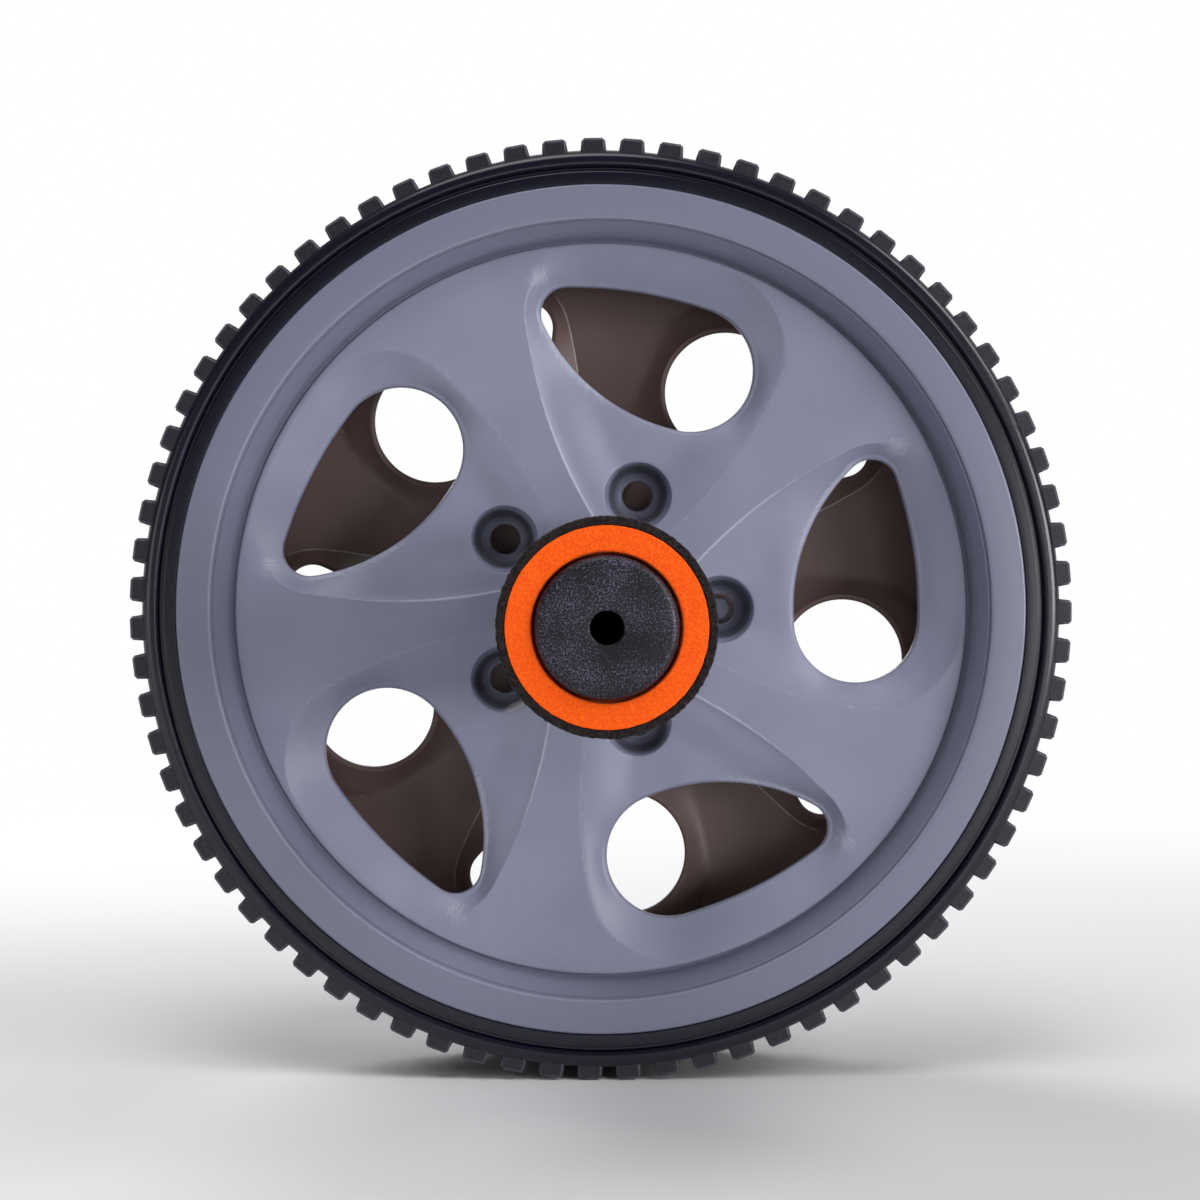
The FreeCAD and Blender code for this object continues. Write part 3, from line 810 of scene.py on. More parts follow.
@dataclass(frozen=True)
class ShellHighlightsAndWear:
    """Where handling has rubbed a wheel half, and where its tool left a bright line inside.

    Zones and ends are reaches from the axle, or angles, from and to. A pale patch, partly scuffing and partly painted
    highlight, is its reach, angle, width and strength.
    """

    crest_width: float = 0.12
    crest_spread: float = 0.9
    crest_fade: float = 0.5
    crest_zone: tuple[float, float] = (30.0, 52.0)
    crest_end: tuple[float, float] = (64.0, 68.0)
    gentle_share: float = 0.45
    gentle_width: float = 0.9
    # Pale patches at the window's tip and at the scoop's outer corner: partly scuffing, partly painted highlight
    scuffs_and_highlights: tuple[tuple[float, float, float, float], ...] = ((66.8, 100.6, 3.6, 0.6), (65.0, 60.0, 3.2, 0.42))
    lip_share: float = 0.66
    lip_width: float = 0.6
    lip_fade: float = 1.8
    lip_zone: tuple[float, float] = (57.0, 66.0)
    lip_angles: tuple[float, float] = (82.0, 92.0)
    flange_share: float = 0.62
    flange_run: float = 0.35
    # Width and extent of the highlight line painted on the inner face behind the ridge
    crease_width: float = 0.1
    crease_spread: float = 0.5
    crease_fade: float = 0.6
    crease_end: tuple[float, float] = (62.0, 68.0)


@dataclass
class WheelShell:
    """One moulded half of the wheel. Heights are reaches outward from the wheel's mid plane.

    A groove is a list of runs and rises from the edge it lies at, each with its rounding.
    """

    node: str
    turned: bool
    flange_height: float = 20.0
    spoke_height: float = 13.5
    wall: float = 2.5
    rim_radius: float = 83.4
    dish_radius: float = 76.5
    disc_radius: float = 72.0
    dish_inner_run: float = 1.31
    flange_run: float = 0.2
    flange_round: float = 1.0
    rim_round: float = 0.5
    foot_groove: tuple[tuple[float, float, float], ...] = (
        (0.4, 0.0, 0.45), (0.7, -0.5, 0.1), (0.95, -0.35, 0.15), (1.75, 3.1, 6.0))
    lip_groove: tuple[tuple[float, float, float], ...] = (
        (-0.42, -0.8, 0.1), (-0.26, -0.95, 0.06), (-0.1, -0.65, 0.05))
    back_rounds: tuple[float, ...] = (0.2, 0.6, 0.8, 0.6)
    hub_radius: float = 13.0
    hub_height: float = 16.0
    hub_rounds: tuple[float, ...] = (0.6, 0.3, 0.2, 0.3)
    bush_radius: float = 9.0
    spokes: int = 5
    first_side: float = 40.0
    half_phase: float = 57.12
    scoop_depth: float = 3.5
    scoop_curve: float = 1.7
    step_depth: float = 0.65
    corner_drop: float = 1.4
    step_run: float = 1.2
    foot_run: float = 10.5
    foot_rise: float = 1.1
    gentle_run: float = 3.0
    ridge_round: float = 0.22
    ridge_span: float = 1.4
    ridge_limits: tuple[float, float] = (0.3, 0.9)
    gentle_round: float = 0.6
    corner_round: float = 2.2
    brow_round: float = 1.3
    window_lip: float = 1.0
    lip_back: float = 0.4
    eye_reach: float = 54.0
    eye_angle: float = 81.5
    cup_reach: float = 23.7
    cup_angle: float = 72.0
    cup_cut: float = 8.4
    cup_margin: float = 5.0
    cup_mouth: float = 6.6
    cup_lip: float = 0.35
    cup_bowl: float = 0.8
    bowl_rows: tuple[float, ...] = (0.03, 0.15, 0.3, 0.5, 0.7, 0.85, 0.94, 1.0)
    cup_floor_height: float = 5.0
    cup_floor_radius: float = 3.5
    cup_hole: float = 3.0
    cup_chamfer: float = 0.2
    tube_end: float = 2.5
    tube_chamfer: float = 0.4
    tube_row: int = 18
    relaxed_run: float = 4.0
    relaxed_limits: tuple[float, float] = (0.98, 1.04)
    relaxed_rounds: int = 30
    peg_corner: float = 2.75
    peg_root: float = 1.0
    peg_end: float = -4.6
    peg_chamfer: tuple[float, float] = (0.65, 0.5)
    arc_steps: int = 100
    side_steps: int = 50
    hub_steps: int = 18
    spoke_rows: int = 7
    ridge_rows: tuple[float, ...] = (0.66, 0.33, 0.0, -0.33, -0.66, -1.0)
    scoop_rows: int = 21
    window: RoundedOutline = RoundedOutline(((50.9, 69.4, 12.35), (59.2, 96.5, 5.2)), (84.5, 39.2))
    scoop: RoundedOutline = RoundedOutline(((23.7, 72.0, 9.7), (54.4, 69.5, 17.3), (58.7, 92.0, 13.0)),
                                           (87.2, 71.7, 98.1))
    zones: ScoopZones = ScoopZones()
    marks: ShellHighlightsAndWear = ShellHighlightsAndWear()

    def reach_gap(self, flat: np.ndarray, outline: RoundedOutline) -> np.ndarray:
        """Distance of points from an outline, positive inside it.

        Args:
            flat: Points as X and Z, in rows.
            outline: The outline.

        Returns:
            The distance of each point.
        """
        line, eye = outline.points(), polar(self.eye_reach, self.eye_angle)
        away = flat - eye
        edge = outline.reach_from(eye, np.arctan2(away[..., 1], away[..., 0]))
        gaps = np.array([length(row[:, None] - line).min(axis=1) for row in flat])
        return np.where(length(away) < edge, gaps, -gaps)

    def sink(self, flat: np.ndarray) -> np.ndarray:
        """Depth of the scoop's surface below the spokes.

        The surface drops at its ridge, crisply on the steep side and softly on the gentle one, and then slopes on
        down to the window. Round the bolt cup it lies level.

        Args:
            flat: Points as X and Z, in rows.

        Returns:
            The depth at each point.
        """
        zones = self.zones
        gentle, soft = self.ridge_softness(flat)
        reach, angle = bearing(flat)
        inside = self.reach_gap(flat, self.scoop)
        rolled = np.where(inside > soft, inside, np.clip(inside + soft, 0, None) ** 2 / (4 * soft))
        outside = np.clip(-self.reach_gap(flat, self.window), 0, None)
        share = rolled / (rolled + outside + TINY)
        share += (ease(rolled, 0.0, self.foot_run) - share) * (1 - ease(reach, *zones.foot))
        step_run = self.step_run + self.gentle_run * (1 - (1 - gentle) * (1 - ease(reach, *zones.brow)))
        corner = ease(angle, *zones.steep_angles) + 1 - ease(angle, *zones.shallow_angles)
        step = self.step_depth + self.corner_drop * ease(reach, *zones.corner) * corner
        floor = self.scoop_depth - self.foot_rise * (1 - ease(reach, *zones.floor))
        depth = step * (1 - np.exp(-rolled / step_run)) + (floor - step) * share ** self.scoop_curve
        return depth * ease(self.disc_radius - reach, 0.0, self.brow_round)

    def ridge_softness(self, flat: np.ndarray) -> tuple[np.ndarray, np.ndarray]:
        """Tells the gentle side of the scoop from the rest, and the rounding of the ridge.

        The ridge is crisp along the steep side, runs out in the outer corner and is soft on the gentle side.

        Args:
            flat: Points as X and Z.

        Returns:
            How far a point belongs to the gentle side, from 0 to 1, and the rounding of the ridge there.
        """
        reach, angle = bearing(flat)
        gentle = (1 - ease(angle, *self.zones.gentle_angles)) * (1 - ease(reach, *self.zones.gentle))
        corner = ease(reach, *self.zones.tip) * ease(angle, *self.zones.tip_angles)
        return gentle, self.ridge_round + self.gentle_round * gentle + self.corner_round * corner

    def worn_and_highlit(self, flat: np.ndarray) -> np.ndarray:
        """Tells where rubbing from handling pales the surface and where highlights are painted on it: along the
        ridges, on the lip by the window's tip and in patches at its corners.

        Args:
            flat: Points as X and Z, in rows.

        Returns:
            The abrasion and painted highlight at each point, from 0 to 1.
        """
        marks = self.marks
        gentle, soft = self.ridge_softness(flat)
        reach, angle = bearing(flat)
        ridge = np.abs(self.reach_gap(flat, self.scoop))
        crest = np.exp(-(ridge / (marks.crest_width + marks.crest_spread * soft)) ** 2)
        crest *= (1 - marks.crest_fade * ease(reach, *marks.crest_zone)) * (1 - gentle)
        line = marks.gentle_share * gentle * np.exp(-(ridge / marks.gentle_width) ** 2)
        crest = np.maximum(crest, line) * (1 - ease(reach, *marks.crest_end))
        scuffed_and_highlit = sum(share * np.exp(-(length(flat - polar(out, turn)) / width) ** 2)
                      for out, turn, width, share in marks.scuffs_and_highlights)
        lip = np.exp(-np.clip(-self.reach_gap(flat, self.window) - marks.lip_width, 0, None) / marks.lip_fade)
        lip *= ease(angle, *marks.lip_angles) * (1 - ease(reach, *marks.lip_zone))
        return np.clip(np.maximum(crest, np.maximum(scuffed_and_highlit, marks.lip_share * lip)), 0, 1)

    def painted_crease_highlight(self, flat: np.ndarray) -> np.ndarray:
        """Tells where a highlight line is painted on the inner face, behind the ridge.

        Args:
            flat: Points as X and Z, in rows.

        Returns:
            The strength of the line at each point, from 0 to 1.
        """
        marks = self.marks
        gentle, soft = self.ridge_softness(flat)
        width = marks.crease_width + marks.crease_spread * soft
        line = np.exp(-(self.reach_gap(flat, self.scoop) / width) ** 2)
        return line * (1 - marks.crease_fade * gentle) * (1 - ease(length(flat), *marks.crease_end))

    def surface(self, flat: np.ndarray) -> np.ndarray:
        """Height of the outer face at points in rows."""
        return self.spoke_height - self.sink(flat)

    def sector_edge(self) -> np.ndarray:
        """Points round one sector's edge, anticlockwise from its first outer corner."""
        low, high = self.first_side, self.first_side + 360 / self.spokes
        outward = np.linspace(self.hub_radius, self.disc_radius, self.side_steps + 1)
        return np.concatenate([polar(self.disc_radius, np.linspace(low, high, self.arc_steps, endpoint=False)),
                               polar(outward[:0:-1], high),
                               polar(self.hub_radius, np.linspace(high, low, self.hub_steps, endpoint=False)),
                               polar(outward[:-1], low)])

    def sector(self) -> tuple[np.ndarray, np.ndarray]:
        """Lays the first sector out in rings from its edge to the window.

        Returns:
            The outer face and the inner face, each as a grid of X, height and Z.
        """
        eye = polar(self.eye_reach, self.eye_angle)
        edge = self.sector_edge()
        away = edge - eye
        rays, far = np.arctan2(away[:, 1], away[:, 0]), length(away)
        near, ridge = self.window.reach_from(eye, rays), self.scoop.reach_from(eye, rays)
        aim = np.stack([np.cos(rays), np.sin(rays)], axis=-1)
        soft = self.ridge_span * self.ridge_softness(eye + aim * ridge[:, None])[1]
        soft_in = np.minimum(soft, self.ridge_limits[0] * (ridge - near))
        soft_out = np.minimum(soft, self.ridge_limits[1] * (far - ridge))
        foot = near + self.window_lip
        rows = [far + (ridge + soft_out - far) * share for share in np.linspace(0, 1, self.spoke_rows)]
        rows += [ridge + (soft_out if share > 0 else soft_in) * share for share in self.ridge_rows]
        rows += [ridge - soft_in + (foot - ridge + soft_in) * share
                 for share in np.linspace(0, 1, self.scoop_rows)[1:]]
        flat = eye + aim[None] * np.array(rows)[..., None]
        flat[0] = edge
        height = self.surface(flat)
        height[0] = self.spoke_height
        lip_flat, lip_over, lip_under = [], [], []
        for turn in np.radians(QUARTER_TURN[1:]):
            lip_flat.append(eye + aim * (near + self.window_lip * (1 - math.cos(turn)))[:, None])
            lip_over.append(height[-1] - self.window_lip * (1 - math.sin(turn)))
            lip_under.append(height[-1] - self.wall + self.lip_back * self.window_lip * (1 - math.sin(turn)))
        flat = np.concatenate([flat, lip_flat])
        over, under = np.concatenate([height, lip_over]), np.concatenate([height - self.wall, lip_under])
        return tuple(np.stack([flat[..., 0], high, flat[..., 1]], axis=-1) for high in (over, under))

    def cut_cup(self, outer: np.ndarray, inner: np.ndarray) -> tuple[np.ndarray, np.ndarray]:
        """Opens a round hole for the bolt cup in both faces of a sector, and rounds its edge.

        Args:
            outer: Outer face, changed in place.
            inner: Inner face, changed in place.

        Returns:
            Which quads stay, and the hole's edge as row and column pairs, anticlockwise.
        """
        axis = polar(self.cup_reach, self.cup_angle)
        flat = outer[..., [0, 2]]
        after = np.roll(flat, -1, axis=1)
        middle = (flat[:-1] + after[:-1] + after[1:] + flat[1:]) / 4
        keep = length(middle - axis) > self.cup_cut
        wide = flat.shape[1]
        step: dict[tuple[int, int], tuple[int, int]] = {}
        for row, column in zip(*np.nonzero(~keep)):
            right = (column + 1) % wide
            ring = [(row, column), (row, right), (row + 1, right), (row + 1, column)]
            beyond = [(row - 1, column), (row, right), (row + 1, column), (row, (column - 1) % wide)]
            for index, (side_row, side_column) in enumerate(beyond):
                if keep[side_row, side_column]:
                    step[ring[index]] = ring[(index + 1) % 4]
        loop = [next(iter(step))]
        while step[loop[-1]] != loop[0]:
            loop.append(step[loop[-1]])
        around = np.unwrap([math.atan2(*(flat[spot] - axis)[::-1]) for spot in loop])
        even = np.linspace(0, 2 * math.pi * np.sign(around[-1] - around[0]), len(loop), endpoint=False)
        even += np.mean(around - even)
        for spot, turn in zip(loop, even):
            flat[spot] = axis + self.cup_cut * np.array([math.cos(turn), math.sin(turn)])
        self.relax(flat, loop, axis)
        height = self.surface(flat)
        close = length(flat - axis) < self.cup_cut + self.cup_margin
        close[0] = False
        for face, drop in ((outer, 0.0), (inner, self.wall)):
            face[..., 0], face[..., 2] = flat[..., 0], flat[..., 1]
            face[..., 1][close] = height[close] - drop
        return keep, np.array(loop)

    def relax(self, flat: np.ndarray, loop: list[tuple[int, int]], axis: np.ndarray) -> None:
        """Evens out the points round the cup's hole.

        Args:
            flat: Points of a sector's face, changed in place.
            loop: The hole's edge, which stays.
            axis: Centre of the hole.
        """
        inner, outer = (self.cup_cut * limit for limit in self.relaxed_limits)
        distance = length(flat - axis)
        free = (distance < self.cup_cut + self.relaxed_run) & (distance > inner)
        free[0] = False
        free[-len(QUARTER_TURN):] = False
        for row, column in loop:
            free[row, column] = False
        for _ in range(self.relaxed_rounds):
            ring = (np.roll(flat, 1, axis=1) + np.roll(flat, -1, axis=1)) / 2
            ring[1:-1] = (ring[1:-1] + (flat[:-2] + flat[2:]) / 2) / 2
            flat[free] = ring[free]
            away = flat - axis
            reach = length(away)
            push = free & (reach < outer)
            flat[push] = axis + away[push] * (outer / reach[push])[:, None]

    def cup_rows(self, top: np.ndarray, bottom: np.ndarray) -> np.ndarray:
        """Lays out a bolt cup: rounded lip, bowl, hole and the tube behind it.

        Args:
            top: The hole's edge on the outer face.
            bottom: The same edge on the inner face.

        Returns:
            The cup as a grid from the outer face to the inner one.
        """
        axis = polar(self.cup_reach, self.cup_angle)
        away = (top[:, [0, 2]] - axis) / self.cup_cut
        rows = [top]

        def ring(radius: float, height: np.ndarray | float) -> None:
            """Adds a ring of the cup at a radius and height."""
            flat = axis + away * radius
            rows.append(np.stack([flat[:, 0], np.broadcast_to(height, len(flat)), flat[:, 1]], axis=-1))

        roll = self.cup_mouth + self.cup_lip
        ring((self.cup_cut + roll) / 2, self.surface((axis + away * (self.cup_cut + roll) / 2)[None])[0])
        brim = self.surface((axis + away * roll)[None])[0]
        for turn in np.radians(QUARTER_TURN):
            ring(roll - self.cup_lip * math.cos(turn), brim - self.cup_lip * (1 - math.sin(turn)))
        depth = brim - self.cup_lip - self.cup_floor_height
        slope = self.cup_mouth - self.cup_floor_radius
        for share in self.bowl_rows:
            fall = share + self.cup_bowl * share * (1 - share)
            ring(self.cup_mouth - slope * share, brim - self.cup_lip - depth * fall)
        ring(self.cup_hole + self.cup_chamfer, self.cup_floor_height)
        ring(self.cup_hole, self.cup_floor_height - self.cup_chamfer)
        ring(self.cup_hole, self.tube_end)
        ring(self.cup_cut - self.tube_chamfer, self.tube_end)
        ring(self.cup_cut, self.tube_end + self.tube_chamfer)
        rows.append(bottom)
        return np.array(rows)

    def place(self, points: np.ndarray) -> np.ndarray:
        """Moves the half from its own heights to its side of the wheel.

        Args:
            points: X, height and Z.

        Returns:
            X, Y and Z in the frame.
        """
        moved = to_side(points, Side.FRONT)
        if not self.turned:
            return moved
        turn = math.radians(self.half_phase)
        across = moved[:, 0] * math.cos(turn) + moved[:, 2] * math.sin(turn)
        upward = moved[:, 0] * math.sin(turn) - moved[:, 2] * math.cos(turn)
        return np.stack([across, -moved[:, 1], upward], axis=-1)

    def build(self) -> Object:
        """Builds the half as one closed mesh.

        Returns:
            The piece.
        """
        mesh = MeshBuilder()
        outer, inner = self.sector()
        keep, loop = self.cut_cup(outer, inner)
        cup = self.cup_rows(outer[loop[:, 0], loop[:, 1]], inner[loop[:, 0], loop[:, 1]])
        wall = np.stack([outer[-1], inner[-1]])
        # Abrasion and painted highlights on the outer face, and a painted highlight line on the inner face
        wear_and_highlight, crease_highlight = self.worn_and_highlit(outer[..., [0, 2]]), self.painted_crease_highlight(inner[..., [0, 2]])
        step = 360 / self.spokes
        for spoke in range(self.spokes):
            turn = step * spoke
            mesh.grid(spun(outer, turn), keep, wear_and_highlight=wear_and_highlight)
            mesh.grid(spun(inner, turn), keep, finish=ShellSlot.INSIDE, wear_and_highlight=crease_highlight)
            mesh.grid(spun(wall, turn))
            mesh.grid(spun(cup[:self.tube_row], turn))
            mesh.grid(spun(cup[self.tube_row - 1:], turn), finish=ShellSlot.INSIDE)
        around = self.first_side + np.arange(self.spokes * self.arc_steps) * step / self.arc_steps
        rim = lathe(self.rim_profile(), around)
        # A pale line at the flange's inner edge: partly abrasion, partly painted highlight
        run = self.marks.flange_run
        rubbed_and_highlit = np.exp(-((length(rim[..., [0, 2]]) - self.dish_radius - run) / run) ** 2)
        mesh.grid(rim, wear_and_highlight=self.marks.flange_share * rubbed_and_highlit * (rim[..., 1] > self.spoke_height))
        mesh.grid(lathe(self.rim_back_profile(), around), finish=ShellSlot.INSIDE)
        around = self.first_side + np.arange(self.spokes * self.hub_steps) * step / self.hub_steps
        mesh.grid(lathe(self.hub_profile(), around))
        self.add_peg(mesh)
        return mesh.make(f"moulded_{self.node}", self.place)

    def rim_profile(self) -> np.ndarray:
        """Section of the dish wall, flange and rim, from the disc's edge to the parting face.

        The disc's edge rolls over into a fine groove at the wall's foot, and a finer one sets the flange off.
        """
        corners = [(self.disc_radius, self.spoke_height, 0)]
        for radius, height, groove in ((self.disc_radius, self.spoke_height, self.foot_groove),
                                       (self.dish_radius, self.flange_height, self.lip_groove)):
            corners += [(radius + run, height + rise, rounding) for run, rise, rounding in groove]
        return rounded_profile(corners + [(self.dish_radius + self.flange_run, self.flange_height, self.flange_round),
                                          (self.rim_radius, self.flange_height, self.rim_round),
                                          (self.rim_radius, 0, 0)])

    def rim_back_profile(self) -> np.ndarray:
        """Section of the rim's inner side, from its parting face round to the inner face of the disc."""
        under, floor = self.flange_height - self.wall, self.spoke_height - self.wall
        back, run, rounds = self.rim_radius - self.wall, self.dish_inner_run, self.back_rounds
        return rounded_profile([(self.rim_radius, 0, 0), (back, 0, rounds[0]), (back, under, rounds[1]),
                                (self.dish_radius + run, under, rounds[2]),
                                (self.disc_radius + run, floor, rounds[3]), (self.disc_radius, floor, 0)])

    def hub_profile(self) -> np.ndarray:
        """Section of the hub tube, from the outer face round to the inner one."""
        hub, bush, rounds = self.hub_radius, self.bush_radius, self.hub_rounds
        return rounded_profile([(hub, self.spoke_height, 0), (hub, self.hub_height, rounds[0]),
                                (bush, self.hub_height, rounds[1]), (bush, 0, rounds[2]),
                                (hub, 0, rounds[3]), (hub, self.spoke_height - self.wall, 0)])

    def add_peg(self, mesh: MeshBuilder) -> None:
        """Adds the six-sided locating peg that fills a hole of the other half.

        Args:
            mesh: Mesh of the half.
        """
        centre = polar(self.cup_reach, self.half_phase)
        rings = []
        chamfer, rise = self.peg_chamfer
        for inset, height in ((0.0, self.tube_end + self.peg_root), (0.0, self.peg_end + rise),
                              (chamfer, self.peg_end)):
            flat = centre + polar(self.peg_corner - inset, np.arange(6) * 60.0)
            rings.append(np.stack([flat[:, 0], np.full(6, height), flat[:, 1]], axis=-1))
        points = np.concatenate(rings)
        faces = [[0, 1, 2, 3], [0, 3, 4, 5], [12, 13, 14, 15], [12, 15, 16, 17]]
        for row in (0, 6):
            for corner in range(6):
                after = (corner + 1) % 6
                faces.append([row + corner, row + after, row + 6 + after, row + 6 + corner])
        mesh.solid(points, faces, finish=ShellSlot.OUTSIDE)

    def dress(self, piece: Object, face: Material, back: Material) -> None:
        """Finishes the half and ties it to the wheel.

        Args:
            piece: The half.
            face: Plastic as it looks outside.
            back: Plastic inside the wheel, painted darker and browner as painted shade and light through the wall.
        """
        piece.data.materials.append(face)
        piece.data.materials.append(back)
        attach(piece, "wheel")
        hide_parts(self.node)


@dataclass
class Tyre:
    """The tread band with its beads and three rows of lugs."""

    rim_radius: float = 83.4
    tread_radius: float = 90.2
    half_width: float = 20.0
    band: float = 2.5
    groove: float = 1.2
    groove_width: float = 0.85
    bead_top: float = 0.15
    bead_round: float = 1.05
    shoulder: float = 1.9
    band_rounds: tuple[float, float] = (0.2, 0.3)
    groove_slants: tuple[float, float] = (0.12, 0.1)
    groove_round: float = 0.15
    tread_run: float = 0.15
    tread_drop: float = 0.6
    tread_round: float = 0.1
    lugs: int = 75
    lug_phase: float = 4.58
    lug_tip_radius: float = 92.5
    lug_root_radius: float = 88.9
    lug_base: float = 5.3
    lug_tip: float = 4.55
    lug_edge: float = 0.52
    rows: tuple[tuple[float, float], ...] = ((10.2, 19.2), (-8.6, 8.6), (-19.2, -10.2))
    steps: int = 600
    round_steps: int = 6

    def side_profile(self) -> list[tuple[float, float, float]]:
        """Corners of one sidewall, from the rim to the tread."""
        face, foot, top = self.half_width, self.rim_radius + self.band, self.half_width - self.bead_top
        bead, floor = foot + self.groove_width, face - self.groove
        return [(self.rim_radius, face, self.band_rounds[0]), (foot, face, self.band_rounds[1]),
                (foot + self.groove_slants[0], floor, self.groove_round),
                (bead - self.groove_slants[1], floor, self.groove_round), (bead, top, self.bead_round),
                (self.tread_radius - self.tread_run, top, self.shoulder),
                (self.tread_radius, top - self.shoulder - self.tread_drop, self.tread_round)]

    def build(self) -> Object:
        """Builds the tyre.

        Returns:
            The piece.
        """
        mesh = MeshBuilder()
        near = self.side_profile()
        far = [(radius, -reach, rounding) for radius, reach, rounding in reversed(near)]
        seam = [(self.rim_radius, 0, 0)]
        profile = rounded_profile(seam + near + far + seam, self.round_steps)
        mesh.grid(lathe(profile, np.arange(self.steps) * 360 / self.steps), finish=TyreSlot.BAND)
        piece = mesh.make("moulded_tyre", lambda points: to_side(points, Side.FRONT))
        self.add_lugs(piece)
        return piece

    def lug_block(self, start: float, end: float) -> tuple[np.ndarray, list[tuple[list[int], int]]]:
        """Makes the lug at angle 0, a tapered block with bevelled edges.

        Args:
            start: Reach at which it starts.
            end: Reach at which it ends.

        Returns:
            Its points, in metres, and for each face its corner numbers and its material number.
        """
        block = bmesh.new()
        corners = []
        for reach in (start, end):
            for radius, width in ((self.lug_root_radius, self.lug_base), (self.lug_tip_radius, self.lug_tip)):
                for side in (-1, 1):
                    corners.append(block.verts.new((radius * MM, -reach * MM, side * width / 2 * MM)))
        for face in ((0, 1, 3, 2), (4, 6, 7, 5), (0, 4, 5, 1), (2, 3, 7, 6), (0, 2, 6, 4), (1, 5, 7, 3)):
            block.faces.new([corners[index] for index in face])
        bmesh.ops.recalc_face_normals(block, faces=block.faces)
        cut = bmesh.ops.bevel(block, geom=block.edges[:], offset=self.lug_edge * MM, segments=1, affect="EDGES")
        for faces, slot in ((block.faces, TyreSlot.LUG), (cut["faces"], TyreSlot.EDGE)):
            for face in faces:
                face.material_index = slot
        block.verts.index_update()
        spots = np.array([vertex.co[:] for vertex in block.verts])
        made = [([vertex.index for vertex in face.verts], face.material_index) for face in block.faces]
        block.free()
        return spots, made

    def add_lugs(self, piece: Object) -> None:
        """Adds the rows of lugs to the tyre's mesh.

        Args:
            piece: The tyre.
        """
        work = bmesh.new()
        for start, end in self.rows:
            spots, faces = self.lug_block(start, end)
            for lug in range(self.lugs):
                made = [work.verts.new(spot) for spot in spun(spots, self.lug_phase + lug * 360 / self.lugs)]
                for face, slot in faces:
                    work.faces.new([made[index] for index in face]).material_index = slot
        work.from_mesh(piece.data)
        work.to_mesh(piece.data)
        work.free()
        piece.data.polygons.foreach_set("use_smooth", [True] * len(piece.data.polygons))
        piece.data.set_sharp_from_angle(angle=math.radians(SHARP))

    def dress(self, piece: Object, materials: Sequence[Material]) -> None:
        """Finishes the tyre and ties it to the wheel.

        Args:
            piece: The tyre.
            materials: Rubber of the band, of the lugs' faces and of their edges, whose lighter tone is partly abrasion
                and partly painted highlight.
        """
        for material in materials:
            piece.data.materials.append(material)
        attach(piece, "wheel")
        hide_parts("tyre")


@dataclass(frozen=True)
class FoamLayer:
    """A tubular layer of the grip.

    edges are the rounding of the ends' inner and outer edges, and how far the bore widens at the outer end. pores is
    the height of the surface's lumps, and grain their size.
    """

    name: str
    inner: float
    outer: float
    edges: tuple[float, float, float]
    pores: float
    grain: float


